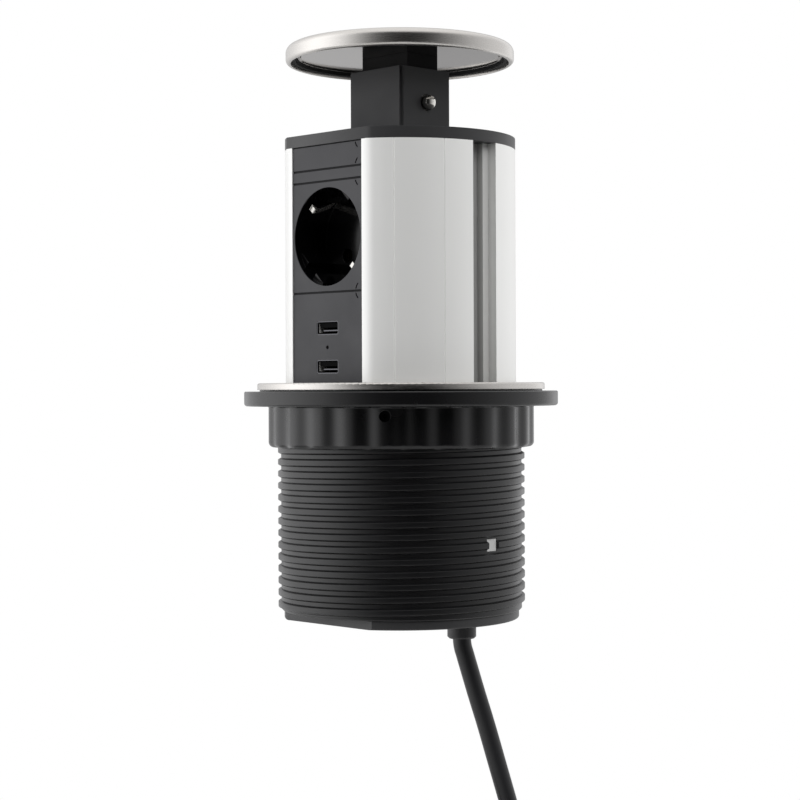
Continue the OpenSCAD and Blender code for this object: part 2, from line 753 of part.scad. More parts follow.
module spacer_strip() {
    color(gloss_colour) union() panel(spacer_z, upper_blank_z);
}

module lower_blank() {
    color(panel_colour) union() panel(tower_bottom, charger_z);
}

// Socket module: its front plate with the round opening, and the open box behind it
module socket_plate() {
    color(panel_colour)
    difference() {
        union() {
            panel(socket_z, spacer_z);
            slab(0, module_width - 0.2, panel_back - 0.2, floor_back, socket_z, spacer_z);
        }
        corner_arc(socket_z, 1);
        corner_arc(spacer_z, -1);
        slab(0, module_width - 0.2 - (module_wall * 2), panel_back, floor_back + cut,
            socket_z + module_wall, spacer_z - module_wall);
        along_y(0, socket_mid, recess_radius, panel_face - cut, panel_back + cut);
        along_y(0, socket_mid, cup_radius + 0.05, cup_front, panel_back + cut);
    }
}

// Turns its children about the socket's axis, so that X runs along the line of the pins
module at_socket() {
    translate([0, 0, socket_mid]) rotate([0, -socket_turn, 0]) children();
}

// Outline of a guide rib: a flat face towards the axis, and a back within the cup's wall
rib_back = recess_radius + (cup_wall / 2);
rib_sides = [rib_gap / 2, (rib_gap / 2) + (rib_width / 2), (rib_gap / 2) + rib_width];
rib_face = recess_radius - rib_height;
rib_front = panel_face + 2.7;
rib_outline = concat([[rib_face, rib_sides[0]]],
    [for (y = rib_sides) [sqrt((rib_back * rib_back) - (y * y)), y]],
    [[rib_face, rib_sides[2]]]);
// Glossy cup: a round wall, a floor with the pin holes, guide ribs, and slots for the earth clips
module socket_cup() {
    slot_front = panel_face + 3.2;
    color(gloss_colour)
    difference() {
        union() {
            difference() {
                along_y(0, socket_mid, cup_radius, cup_front, floor_back);
                along_y(0, socket_mid, recess_radius, cup_front - cut, floor_front);
            }
            at_socket() for (turn = [0, 180]) rotate([0, turn, 0]) for (side = [0, 1]) mirror([0, 0, side])
                translate([0, rib_front, 0]) rotate([90, 0, 0]) mirror([0, 0, 1])
                    linear_extrude(floor_front + 1 - rib_front) polygon(rib_outline);
        }
        at_socket() for (side = [-1, 1]) {
            along_y(side * pin_spacing / 2, 0, pin_hole_radius, floor_front - cut, floor_back + cut);
            translate([-(clip_width / 2) - 0.4, slot_front, (side * (cup_radius + 0.5)) - 1.8])
                cube([clip_width + 0.8, floor_front - 0.25 - slot_front, 3.6]);
        }
    }
}

// Earth contact: a strap behind the cup, two legs beside it and a bent clip on each
module earth_contact() {
    sheet = 0.8;
    leg_out = cup_radius + 0.9;
    nose_y = panel_face + 4.9;
    color(steel_colour)
    at_socket() {
        slab(0, clip_width, floor_back, floor_back + sheet, -leg_out, leg_out);
        for (side = [0, 1]) mirror([0, 0, side]) {
            slab(0, clip_width, floor_front - 0.8, floor_back + sheet, leg_out - sheet, leg_out);
            translate([-clip_width / 2, 0, 0]) rotate([90, 0, 90]) linear_extrude(clip_width) polygon([
                [floor_front - 0.6, leg_out - sheet], [nose_y + 1, clip_reach], [nose_y - 0.6, clip_reach],
                [nose_y - 2.1, clip_reach + 2.2], [nose_y - 1.3, clip_reach + 2.7],
                [nose_y - 0.1, clip_reach + sheet], [nose_y + 0.6, clip_reach + sheet],
                [floor_front - 0.6, leg_out]]);
        }
    }
}

// Contact tube behind a pin hole, with a slot along it
module contact_tube(side) {
    tube_wall = 0.8;
    color(brass_colour)
    at_socket() difference() {
        along_y(side * pin_spacing / 2, 0, pin_hole_radius + tube_wall, floor_back, floor_back + tube_length);
        along_y(side * pin_spacing / 2, 0, pin_hole_radius, floor_back - cut, floor_back + tube_length - 1.5);
        slab(side * ((pin_spacing / 2) + pin_hole_radius), pin_hole_radius * 2, floor_back + 3,
            floor_back + tube_length + cut, -0.4, 0.4);
    }
}

module live_contact() {
    contact_tube(-1);
}

module neutral_contact() {
    contact_tube(1);
}

module socket_rear_cover() {
    color(dark_colour)
    difference() {
        slab(0, module_width - 0.2, floor_back, cover_back, socket_z, spacer_z);
        slab(0, module_width - 0.2 - (cover_wall * 2), floor_back - cut, cover_back - cover_wall,
            socket_z + cover_wall, spacer_z - cover_wall);
    }
}

// A port's outline with rounded corners, made smaller all round by inset, from front to back
module port_prism(z, inset, front, back) {
    w = (port_width / 2) - port_corner;
    h = (port_height / 2) - port_corner;
    translate([0, front, z]) rotate([90, 0, 0]) mirror([0, 0, 1]) linear_extrude(back - front) union() {
        square([(w + port_corner - inset) * 2, h * 2], center = true);
        square([w * 2, (h + port_corner - inset) * 2], center = true);
        for (x = [-w, w]) for (y = [-h, h]) translate([x, y]) circle(r = port_corner - inset);
    }
}

module charger_plate() {
    color(panel_colour)
    difference() {
        union() {
            panel(charger_z, socket_z);
            slab(0, module_width - 0.2, panel_back - 0.2, board_front, charger_z, socket_z);
        }
        slab(0, module_width - 0.2 - (module_wall * 2), panel_back, board_front + cut,
            charger_z + module_wall, socket_z - module_wall);
        for (z = [upper_port_z, lower_port_z]) port_prism(z, 0, panel_face - cut, panel_back + cut);
        along_y(0, indicator_z, indicator_radius, panel_face - cut, panel_back + cut);
        corner_arc(socket_z, -1);
    }
}

module port_shells() {
    color(steel_colour)
    for (z = [upper_port_z, lower_port_z]) difference() {
        port_prism(z, 0, panel_face + 0.1, board_front);
        port_prism(z, port_wall, panel_face - cut, board_front - 0.6);
    }
}

module port_tongues() {
    tongue_thick = 1.9;
    tongue_width = port_width - 2.2;
    color(pale_colour)
    for (z = [upper_port_z, lower_port_z])
        slab(0, tongue_width, panel_face + 0.9, board_front - 0.6, z + 0.2, z + 0.2 + tongue_thick);
}

// Circuit board behind the ports, with the transformer and two capacitors
module charger_board() {
    board_thick = 1.6;
    board_back = board_front + board_thick;
    color([0.1, 0.3, 0.2])
    union() {
        slab(0, module_width - 0.2, board_front, board_back, charger_z, socket_z);
        slab(0, 22, board_back - 0.2, board_back + 14, charger_z + 12, charger_z + 34);
        for (side = [-1, 1]) along_y(side * 16, charger_z + 12, 4, board_back - 0.2, board_back + 11);
    }
}

module indicator_lens() {
    color(pale_colour)
    along_y(0, indicator_z, indicator_radius - 0.05, panel_face + 0.2, board_front);
}

// Neck: a square box with a rebate down each corner, and a guide boss for the button's collar
module neck() {
    floor_thick = 2;
    spigot_hole = [stem_width - 3.2, stem_depth - 3.2];
    color(dark_colour)
    difference() {
        union() {
            difference() {
                block([0, 0], [neck_width, neck_depth], cap_top, neck_top);
                block([0, 0], [neck_width - (neck_wall * 2), neck_depth - (neck_wall * 2)],
                    cap_top - cut, neck_top - floor_thick);
                for (x = [-1, 1]) for (y = [-1, 1])
                    block([x * neck_width / 2, y * neck_depth / 2], [rebate * 2, rebate * 2],
                        cap_top - cut, neck_top + cut);
            }
            for (x = [-1, 1]) for (y = [-1, 1])
                block([x * ((neck_width / 2) - neck_wall - 0.5), y * ((neck_depth / 2) - neck_wall - 0.5)],
                    [2.2, 2.2], cap_top, neck_top - 0.5);
            along_x(0, button_z, collar_radius + 1.5, neck_inner + 0.2 - boss_length, neck_inner + 0.5);
        }
        block([0, 0], spigot_hole, neck_top - floor_thick - cut, neck_top + cut);
        along_x(0, button_z, collar_radius + collar_clear, neck_inner - boss_length - cut, neck_inner);
        along_x(0, button_z, button_hole_radius, neck_inner - cut, neck_face + cut);
    }
}

// Stem: the dark upper neck, with a spigot through the neck's top
module lid_stem() {
    spigot_depth = 4.2;
    color(gloss_colour)
    union() {
        block([0, 0], [stem_width, stem_depth], neck_top, backplate_z);
        block([0, 0], [stem_width - 3.4, stem_depth - 3.4], neck_top - spigot_depth, neck_top + 0.5);
    }
}

// Lid: a turned sheet dish with a round top edge and a lip curled inwards
module lid_shell() {
    inner_lid = lid_radius - lid_sheet;
    color(steel_colour)
    rotate_extrude() difference() {
        intersection() {
            turned_edge(lid_radius, lid_bottom, lid_top, lid_round, true);
            turned_edge(lid_radius, lid_bottom, lid_top, lid_curl, false);
        }
        translate([0, lid_bottom + lid_sheet]) turned_edge(inner_lid, 0,
            lid_height - (lid_sheet * 2), lid_round - lid_sheet, true);
        translate([0, lid_bottom - cut]) square([lid_radius - lid_lip, lid_sheet + (cut * 2)]);
    }
}

// Back plate: polished sheet with a groove inside its rim
module lid_backplate() {
    groove_deep = 0.8;
    color(pale_colour)
    rotate_extrude() difference() {
        translate([0, backplate_z]) square([backplate_radius, lid_top - lid_sheet - backplate_z]);
        translate([backplate_radius - (rim_width * 2), backplate_z - cut]) square([rim_width, groove_deep + cut]);
    }
}

// Seal: a ring on the lid's lip, round the back plate and clear of the lid's inner round
module lid_seal() {
    seal_outer = lid_radius - lid_sheet - 0.5;
    color(gloss_colour)
    difference() {
        disc(seal_outer, lid_bottom + lid_sheet, lid_top - lid_round);
        disc(backplate_radius, lid_bottom, lid_top);
    }
}

// Release button: domed head, shank, collar, and a wedge face at its inner end
module release_button() {
    dome_radius = button_radius * 1.25;
    tip = neck_face + button_proud;
    dome_start = tip - dome_radius + sqrt((dome_radius * dome_radius) - (button_radius * button_radius));
    color(steel_colour)
    difference() {
        translate([0, 0, button_z]) rotate([0, 90, 0]) rotate_extrude() {
            translate([0, rod_place - 2]) square([button_radius, dome_start - rod_place + 2]);
            translate([0, collar_out - collar_length]) square([collar_radius, collar_length]);
            intersection() {
                translate([0, tip - dome_radius]) circle(r = dome_radius);
                translate([0, dome_start - 0.5]) square([button_radius, button_proud + cut]);
            }
        }
        translate([0, -collar_radius - cut, 0]) rotate([90, 0, 0]) mirror([0, 0, 1])
            linear_extrude((collar_radius + cut) * 2) polygon([
                [rod_left - 4, button_z - collar_radius],
                [wedge_sum - button_z + collar_radius, button_z - collar_radius],
                [wedge_sum - button_z - collar_radius, button_z + collar_radius],
                [rod_left - 4, button_z + collar_radius]]);
    }
}

// Push rod: wedge faces at both ends, and the collar that the return spring pushes on
module push_rod() {
    collar_side = 10;
    collar_thick = 1.2;
    top_sum = wedge_sum - (wedge_gap * sqrt(2));
    color(pale_colour)
    union() {
        translate([0, -rod_side / 2, 0]) rotate([90, 0, 0]) mirror([0, 0, 1])
            linear_extrude(rod_side) polygon([
                [rod_left, latch_wedge_sum + (wedge_gap * sqrt(2)) - rod_left],
                [rod_right, latch_wedge_sum + (wedge_gap * sqrt(2)) - rod_right],
                [rod_right, top_sum - rod_right],
                [rod_left, top_sum - rod_left]]);
        block([rod_place, 0], [collar_side, collar_side], spring_top, spring_top + collar_thick);
    }
}

// Latch: a frame round the rod's lower wedge, and a square bar to the sleeve's window
module latch_slider() {
    frame_left = rod_left - 8;
    frame_right = rod_right + release_travel + 3.5;
    frame_depth = 11;
    half = latch_side / 2;
    low = latch_z - half;
    high = latch_z + half;
    hole_right = rod_right + release_travel + 0.4;
    color(pale_colour)
    difference() {
        union() {
            translate([frame_left, -frame_depth / 2, low]) cube([frame_right - frame_left, frame_depth, latch_side]);
            translate([frame_right - 1, latch_centre - half, low])
                cube([nose_x - frame_right + 1, latch_side, latch_side]);
        }
        translate([0, -(rod_side / 2) - rod_clear - 0.2, 0]) rotate([90, 0, 0]) mirror([0, 0, 1])
            linear_extrude(rod_side + (rod_clear * 2) + 0.4) polygon([
                [latch_wedge_sum - low + cut, low - cut], [hole_right, low - cut], [hole_right, high + cut],
                [latch_wedge_sum - high - cut, high + cut]]);
    }
}

// Guide on the profile's channel: it carries the latch bar and steadies the rod
module latch_guide() {
    guide_left = rod_right + release_travel + 4.5;
    guide_half = 7;
    arm_low = latch_z + (latch_side / 2) + 4;
    guide_top = arm_low + 5;
    bar_hole = latch_side + (latch_clear * 2);
    hole_side = rod_side + (rod_clear * 2);
    color(dark_colour)
    difference() {
        union() {
            translate([guide_left, latch_centre - guide_half, latch_z - 6])
                cube([channel_x - guide_left, guide_half * 2, guide_top - latch_z + 6]);
            translate([rod_left - 4, -5.5, arm_low]) cube([guide_left - rod_left + 5, 11, guide_top - arm_low]);
        }
        translate([guide_left - cut, latch_centre - (bar_hole / 2), latch_z - (bar_hole / 2)])
            cube([channel_x - guide_left + (cut * 2), bar_hole, bar_hole]);
        block([rod_place, 0], [hole_side, hole_side], arm_low - cut, guide_top + cut);
    }
}

// Return spring round the rod, in one unbroken tube
module return_spring() {
    rings = spring_coils * 8;
    rise = spring_length - (spring_wire * 2) - 0.04;
    spring_line = [for (i = [0 : rings]) [
        rod_place + (spring_radius * cos(360 * i / 8)),
        spring_radius * sin(360 * i / 8),
        cap_top + spring_wire + 0.02 + (rise * i / rings)]];
    color(steel_colour) tube(spring_line, spring_wire, 6, [0, 0, 1]);
}

// Gland: a round body under the bottom cap, chamfered below, and a shank through the cap
module cord_gland() {
    gland_top = stop_top - stop_thick;
    gland_end = gland_top - gland_length;
    chamfer = 0.8;
    shank_radius = gland_radius - 1.1;
    color(dark_colour)
    translate([gland_place, gland_place, 0]) difference() {
        union() {
            disc(gland_radius, gland_end + chamfer, gland_top);
            translate([0, 0, gland_end]) cylinder(r1 = gland_radius - chamfer, r2 = gland_radius, h = chamfer);
            disc(shank_radius, gland_top - 0.5, tower_bottom + 4.5);
        }
        disc(cord_radius + cord_clear, gland_end - cut, tower_bottom + 4.5 + cut);
    }
}

module gland_nut() {
    nut_flats_radius = 8.5;
    color(steel_colour)
    translate([gland_place, gland_place, tower_bottom]) difference() {
        cylinder(r = nut_flats_radius, h = 4, $fn = 6);
        translate([0, 0, -cut]) cylinder(r = gland_radius - 1.05, h = 4 + (cut * 2), $fn = 96);
    }
}

module cord_lead() {
    color(gloss_colour) tube(lead_line, cord_radius, 10, in_plane([0, 1, 0]));
}

module cord_coil() {
    echo(least_gap_between_turns_mm = coil_gap);
    color(gloss_colour) tube(coil_line, cord_radius, 6, in_plane([0, 1, 0]));
}

// Tie: a flat strap closed round the turns at the coil's top
module cord_tie() {
    turn_in = coil_inner + (coil_step / 4);
    turn_out = coil_outer - (coil_step / 4);
    inner_low = turn_in - cord_radius - 1.4;
    inner_high = turn_out + cord_radius + 0.5;
    side_gap = 0.4;
    near = -cord_radius - side_gap;
    far = coil_step + cord_radius + side_gap;
    color(dark_colour)
    translate([0, 0, coil_z]) rotate(lead_turn) translate([coil_x - (tie_width / 2), -lead_depth, 0])
    mirror([0, 1, 0]) difference() {
        translate([0, near - tie_thick, inner_low - tie_thick])
            cube([tie_width, far - near + (tie_thick * 2), inner_high - inner_low + (tie_thick * 2)]);
        translate([-cut, near, inner_low]) cube([tie_width + (cut * 2), far - near, inner_high - inner_low]);
    }
}

// Puts its children on the plug's axis
module at_plug() {
    translate(in_plane([lead_end[0], tail_depth, 0])) children();
}

module plug_relief() {
    color(gloss_colour)
    at_plug() translate([0, 0, plug_top]) cylinder(r1 = relief_radius, r2 = cord_radius + 0.3, h = relief_length);
}

// Plug: a round body, narrower at the lead, with the earth grooves in its sides
module plug_body() {
    shoulder = 12;
    groove_half = 3;
    color(gloss_colour)
    at_plug() difference() {
        union() {
            translate([0, 0, plug_face]) cylinder(r = plug_radius, h = plug_length - shoulder);
            translate([0, 0, plug_top - shoulder]) cylinder(r1 = plug_radius, r2 = relief_radius + 2, h = shoulder);
        }
        rotate(lead_turn) for (side = [-1, 1]) translate([-groove_half, (side * plug_radius) - 1.5, plug_face - cut])
            cube([groove_half * 2, 3, plug_length - shoulder - 2]);
    }
}

module plug_pins() {
    tip = 1;
    color(brass_colour)
    at_plug() rotate(lead_turn) for (side = [-1, 1]) translate([side * pin_spacing / 2, 0, plug_face]) {
        translate([0, 0, -plug_pin_length + tip]) cylinder(r = plug_pin_radius, h = plug_pin_length - tip);
        translate([0, 0, -plug_pin_length]) cylinder(r1 = plug_pin_radius - tip, r2 = plug_pin_radius, h = tip);
    }
}

threaded_sleeve();
trim_ring();
slip_washer();
flange_nut();
nut_lock_screw();
tower_profile();
top_cap();
bottom_cap();
cap_screws();
upper_blank();
spacer_strip();
socket_plate();
socket_cup();
earth_contact();
live_contact();
neutral_contact();
socket_rear_cover();
charger_plate();
port_shells();
port_tongues();
charger_board();
indicator_lens();
lower_blank();
neck();
lid_stem();
lid_shell();
lid_backplate();
lid_seal();
release_button();
push_rod();
latch_slider();
latch_guide();
return_spring();
cord_gland();
gland_nut();
terminal_block();
cord_lead();
cord_coil();
cord_tie();
plug_relief();
plug_body();
plug_pins();
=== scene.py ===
"""Looks of a built-in power strip: a round tower that rises out of a worktop through a threaded sleeve.

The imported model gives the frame. Every piece is made in metres in that frame, and lengths below are in
millimetres until they reach a mesh, where MM turns them to metres.
"""
import logging
import math
from collections.abc import Callable, Iterable, Sequence
from dataclasses import dataclass
from enum import Enum

import bmesh
import bpy
from mathutils import Matrix, Vector


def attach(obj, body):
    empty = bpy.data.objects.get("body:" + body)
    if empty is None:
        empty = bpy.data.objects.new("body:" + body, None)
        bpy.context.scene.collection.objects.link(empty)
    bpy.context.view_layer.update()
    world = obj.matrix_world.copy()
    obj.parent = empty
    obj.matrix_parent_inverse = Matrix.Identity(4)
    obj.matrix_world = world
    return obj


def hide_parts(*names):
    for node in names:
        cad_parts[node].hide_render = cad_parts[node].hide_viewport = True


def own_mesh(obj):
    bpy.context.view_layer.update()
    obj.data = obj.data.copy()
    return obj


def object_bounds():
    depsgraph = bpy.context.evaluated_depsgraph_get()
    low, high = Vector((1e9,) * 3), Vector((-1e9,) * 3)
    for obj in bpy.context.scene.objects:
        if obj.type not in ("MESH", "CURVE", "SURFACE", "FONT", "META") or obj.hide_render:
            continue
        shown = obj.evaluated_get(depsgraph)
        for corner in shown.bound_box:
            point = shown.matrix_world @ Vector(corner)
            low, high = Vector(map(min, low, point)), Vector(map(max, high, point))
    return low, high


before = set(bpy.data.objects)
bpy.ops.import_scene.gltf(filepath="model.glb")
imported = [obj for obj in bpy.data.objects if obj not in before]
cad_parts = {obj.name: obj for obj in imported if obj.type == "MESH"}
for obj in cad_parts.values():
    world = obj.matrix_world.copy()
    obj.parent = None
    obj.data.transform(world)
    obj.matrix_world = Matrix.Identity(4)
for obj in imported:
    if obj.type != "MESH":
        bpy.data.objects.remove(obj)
CAD_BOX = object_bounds()
LOG = logging.getLogger("power_strip")
MM = 0.001
# The panels' front face, and the top cap's upper face, where several pieces start
PANEL_FACE = -41.9
CAP_TOP = 105.85
# How far the tower goes down from its raised place
TOWER_TRAVEL = 142.6
Place = tuple[float, float, float]
Colour = tuple[float, float, float, float]
Flat = tuple[float, float]
Socket = bpy.types.NodeSocket
Mesh = bpy.types.Mesh


# Node trees

def linear(hex_colour: str) -> Colour:
    """Turns an sRGB hex colour into a linear one.

    Args:
        hex_colour: six hex digits.

    Returns:
        Linear red, green, blue and an alpha of 1.
    """
    parts = [int(hex_colour[i:i + 2], 16) / 255 for i in (0, 2, 4)]
    red, green, blue = (p / 12.92 if p <= 0.04045 else ((p + 0.055) / 1.055) ** 2.4 for p in parts)
    return red, green, blue, 1.0


class Graph:
    """A node tree that grows by calls, each of which adds a node and returns one of its outputs."""

    def __init__(self, tree: bpy.types.NodeTree) -> None:
        """Takes the tree."""
        self.tree = tree

    def feed(self, socket: Socket, value: object) -> None:
        """Links an output to an input, or sets the input to a value.

        Args:
            socket: the input.
            value: an output, or a plain value.
        """
        if isinstance(value, bpy.types.NodeSocket):
            self.tree.links.new(value, socket)
        else:
            socket.default_value = value

    def node(self, kind: str, sockets: dict | None = None, **settings: object) -> bpy.types.Node:
        """Adds a node, sets it up and links what feeds it.

        Args:
            kind: the node's type name.
            sockets: an input's name or number, to the value or the output that feeds it.
            **settings: attributes of the node.

        Returns:
            The new node.
        """
        made = self.tree.nodes.new(kind)
        for key, value in settings.items():
            setattr(made, key, value)
        for key, value in (sockets or {}).items():
            self.feed(made.inputs[key], value)
        return made

    def do(self, kind: str, sockets: dict | None = None, out: str | int = 0, **settings: object) -> Socket:
        """Adds a node as node() does, and returns the output of that name or number."""
        return self.node(kind, sockets, **settings).outputs[out]

    def maths(self, operation: str, *values: object) -> Socket:
        """Returns the result of a Math node."""
        return self.do("ShaderNodeMath", dict(enumerate(values)), operation=operation)

    def vector(self, operation: str, *values: object, out: str = "Vector") -> Socket:
        """Returns the result of a Vector Math node."""
        return self.do("ShaderNodeVectorMath", dict(enumerate(values)), out, operation=operation)

    def scaled(self, place: Socket, scale: float | Socket) -> Socket:
        """Returns a vector made longer or shorter."""
        return self.do("ShaderNodeVectorMath", {0: place, "Scale": scale}, operation="SCALE")

    def parts(self, place: Socket) -> list[Socket]:
        """Returns a vector's x, y and z."""
        return list(self.node("ShaderNodeSeparateXYZ", {"Vector": place}).outputs)

    def span(self, value: Socket, low: float | Socket, high: float | Socket, first: float = 0.0,
             last: float = 1.0, **settings: object) -> Socket:
        """Returns a value that goes from first to last while the given one goes from low to high."""
        sockets = {"Value": value, "From Min": low, "From Max": high, "To Min": first, "To Max": last}
        return self.do("ShaderNodeMapRange", sockets, **settings)

    def blend(self, share: Socket, first: Colour | Socket, last: Colour | Socket) -> Socket:
        """Returns a colour between two."""
        return self.do("ShaderNodeMix", {0: share, 6: first, 7: last}, 2, data_type="RGBA")


# Finishes

class Skin(Graph):
    """A material's tree, with its shader, the point on the object in metres and the softened normal."""

    def __init__(self, made: bpy.types.Material, edge_mm: float) -> None:
        """Starts from a material's nodes.

        Args:
            made: the material.
            edge_mm: the radius that softens its edges.
        """
        super().__init__(made.node_tree)
        self.shader = self.tree.nodes["Principled BSDF"]
        self.place = self.do("ShaderNodeTexCoord", out="Object")
        self.edge = self.do("ShaderNodeBevel", {"Radius": edge_mm * MM}, samples=4)

    def give(self, **values: object) -> None:
        """Sets or feeds the shader's inputs, named with _ for a space."""
        for key, value in values.items():
            self.feed(self.shader.inputs[key.replace("_", " ")], value)

    def noise(self, scale: float, detail: float, rough: float = 0.5, place: Socket | None = None) -> Socket:
        """Returns a noise pattern, over the object if no other place is given."""
        sockets = {"Vector": place or self.place, "Scale": scale, "Detail": detail, "Roughness": rough}
        return self.do("ShaderNodeTexNoise", sockets)

    def bump(self, height: Socket, depth_mm: float) -> None:
        """Raises the surface by a pattern of the given real depth."""
        sockets = {"Strength": 1.0, "Distance": depth_mm * MM, "Height": height, "Normal": self.edge}
        self.give(Normal=self.do("ShaderNodeBump", sockets))

    def vary(self, pattern: Socket, low: float, high: float) -> None:
        """Lets the middle part of a pattern move the roughness between two values."""
        self.give(Roughness=self.span(pattern, 0.3, 0.7, low, high))


@dataclass(frozen=True)
class Finish:
    """A surface as its maker names it.

    colour is sRGB hex, and edge_mm the soft edge that its moulding or cutting leaves.
    """
    name: str
    colour: str
    roughness: float
    edge_mm: float = 0.25

    def material(self) -> bpy.types.Material:
        """Makes the finish's material, once.

        Returns:
            The material.
        """
        known = bpy.data.materials.get(self.name)
        if known:
            return known
        made = bpy.data.materials.new(self.name)
        made.use_nodes = True
        made.diffuse_color = linear(self.colour)
        skin = Skin(made, self.edge_mm)
        skin.give(Base_Color=linear(self.colour), Roughness=self.roughness, Normal=skin.edge)
        self.grain(skin)
        return made

    def grain(self, skin: Skin) -> None:
        """Adds the finish's own pattern; a plain finish has only its soft edges."""


@dataclass(frozen=True)
class MouldedPlastic(Finish):
    """ABS or polyamide from a spark-eroded mould: a fine even grain that breaks up the highlight.

    grain_mm is the width of a grain and grain_deep its depth in millimetres. A real grain of 0.05 to 0.1 mm
    would be finer than a pixel, so it is drawn coarser. spread is how far the roughness strays, in clouds
    of cloud_scale to the metre.
    """
    grain_mm: float = 0.25
    grain_deep: float = 0.012
    spread: float = 0.05
    reflection: float = 0.5
    cloud_scale: float = 60.0

    def grain(self, skin: Skin) -> None:
        """Adds the mould's grain, and a faint cloudiness in the gloss.

        Args:
            skin: the material's tree.
        """
        skin.give(IOR=1.5, Specular_IOR_Level=self.reflection)
        clouds = skin.noise(self.cloud_scale, 3.0)
        skin.vary(clouds, self.roughness - self.spread, self.roughness + self.spread)
        skin.bump(skin.noise(1 / (self.grain_mm * MM), 2.0, 0.6), self.grain_deep)


@dataclass(frozen=True)
class PanelPlastic(MouldedPlastic):
    """The plates' plastic, with painted shade that darkens it in narrow seams, where little light gets in.

    seam_mm gives the depths between which the painted shade darkens it, and shade what is left of the colour
    and of the reflection at the seams' floor.
    """
    seam_mm: Flat = (0.05, 0.35)
    shade: float = 0.3

    def grain(self, skin: Skin) -> None:
        """Adds the mould's grain and the painted shade in the seams.

        Args:
            skin: the material's tree.
        """
        super().grain(skin)
        # Painted shade: colour and reflection darken with depth behind the panels' face.
        start, floor = ((PANEL_FACE + depth) * MM for depth in self.seam_mm)
        dark = skin.span(skin.parts(skin.place)[1], start, floor)
        full = linear(self.colour)
        low = tuple(c * self.shade for c in full[:3]) + (1.0,)
        skin.give(Base_Color=skin.blend(dark, full, low),
                  Specular_IOR_Level=skin.span(dark, 0.0, 1.0, self.reflection, self.reflection * self.shade))


class Brushing(Enum):
    """Which way a metal was brushed, drawn or turned, as the stretch of its pattern along x, y and z."""
    ALONG_X = (0.02, 1.0, 1.0)
    ALONG_Z = (1.0, 1.0, 0.015)


@dataclass(frozen=True)
class BrushedMetal(Finish):
    """Metal with fine lines one way, from a belt, a die or a lathe: its highlight spreads across them.

    line_mm is the spacing of the lines and line_deep their depth; belt lines of grit 240 lie about 0.06 mm
    apart and are drawn at 0.3 mm. rough is how broken the lines are, and metallic the share of light that
    metal mirrors.
    """
    brushing: Brushing = Brushing.ALONG_X
    line_mm: float = 0.3
    line_deep: float = 0.004
    spread: float = 0.06
    rough: float = 0.65
    metallic: float = 1.0

    def along(self, skin: Skin) -> Socket:
        """Returns the place, stretched so that a noise draws lines."""
        return skin.do("ShaderNodeMapping", {"Vector": skin.place, "Scale": self.brushing.value})

    def grain(self, skin: Skin) -> None:
        """Adds the lines to the normal and to the roughness.

        Args:
            skin: the material's tree.
        """
        skin.give(Metallic=self.metallic)
        lines = skin.noise(1 / (self.line_mm * MM), 3.0, self.rough, self.along(skin))
        skin.vary(lines, self.roughness - self.spread, self.roughness + self.spread)
        skin.bump(lines, self.line_deep)


@dataclass(frozen=True)
class Anodised(BrushedMetal):
    """Drawn metal under an anodised skin that scatters most of the light.

    groove_mm gives the groove in the profile's side: the depths along x between which painted shade darkens
    it, its middle along y and its half width. left is what stays of the colour at the floor, in painted shade
    where little light gets in.
    """
    metallic: float = 0.4
    groove_mm: tuple[float, float, float, float] = (40.8, 46.0, 1.1, 6.95)
    left: float = 0.42

    def grain(self, skin: Skin) -> None:
        """Adds the die's lines and the painted shade in the groove.

        Args:
            skin: the material's tree.
        """
        super().grain(skin)
        # Painted shade: the colour darkens towards the groove's floor.
        floor, top, middle, half = (c * MM for c in self.groove_mm)
        x, y, _ = skin.parts(skin.place)
        near, side = skin.maths("COMPARE", y, middle, half), skin.maths("GREATER_THAN", x, 0.0)
        depth = skin.span(x, floor, top, 1.0 - self.left, 0.0)
        share = skin.maths("MULTIPLY", skin.maths("MULTIPLY", near, side), depth)
        skin.give(Base_Color=skin.blend(share, linear(self.colour), (0.0, 0.0, 0.0, 1.0)))


@dataclass(frozen=True)
class TurnedMetal(BrushedMetal):
    """Sheet steel brushed while it turned, so that its lines run round the axis and wander a little."""
    rough: float = 0.6
    wander: float = 0.02

    def along(self, skin: Skin) -> Socket:
        """Turns the distance from the axis and the height into a place.

        Args:
            skin: the material's tree.

        Returns:
            The place.
        """
        reach = skin.vector("LENGTH", skin.vector("MULTIPLY", skin.place, (1.0, 1.0, 0.0)), out="Value")
        line = skin.do("ShaderNodeCombineXYZ", {"X": reach, "Z": skin.parts(skin.place)[2]})
        return skin.vector("ADD", line, skin.scaled(skin.place, self.wander))


@dataclass(frozen=True)
class PlainMetal(Finish):
    """Plated or stamped metal with a smooth skin, a little uneven in its gloss."""
    cloud_scale: float = 900.0
    uneven: Flat = (0.8, 1.25)
    deep: float = 0.004

    def grain(self, skin: Skin) -> None:
        """Adds the uneven gloss of a plated part.

        Args:
            skin: the material's tree.
        """
        skin.give(Metallic=1.0)
        broad = skin.noise(self.cloud_scale, 2.0)
        skin.vary(broad, *(self.roughness * share for share in self.uneven))
        skin.bump(broad, self.deep)


@dataclass(frozen=True)
class WovenStrap(Finish):
    """Hook-and-loop strap: a nap of fine loops, nap_mm high, on a woven tape, with a soft sheen."""
    thread_mm: float = 0.8
    nap_mm: float = 0.15

    def grain(self, skin: Skin) -> None:
        """Adds the weave's rows and the loops' fuzz.

        Args:
            skin: the material's tree.
        """
        skin.give(Sheen_Weight=0.3)
        threads = 1 / (self.thread_mm * MM)
        rows = skin.do("ShaderNodeTexWave", {"Vector": skin.place, "Scale": threads / 6.3, "Distortion": 1.5,
                                             "Detail": 2.0}, "Fac", bands_direction="Z")
        loops = skin.do("ShaderNodeTexVoronoi", {"Vector": skin.place, "Scale": threads}, "Distance")
        skin.bump(skin.maths("MULTIPLY", rows, loops), self.nap_mm)


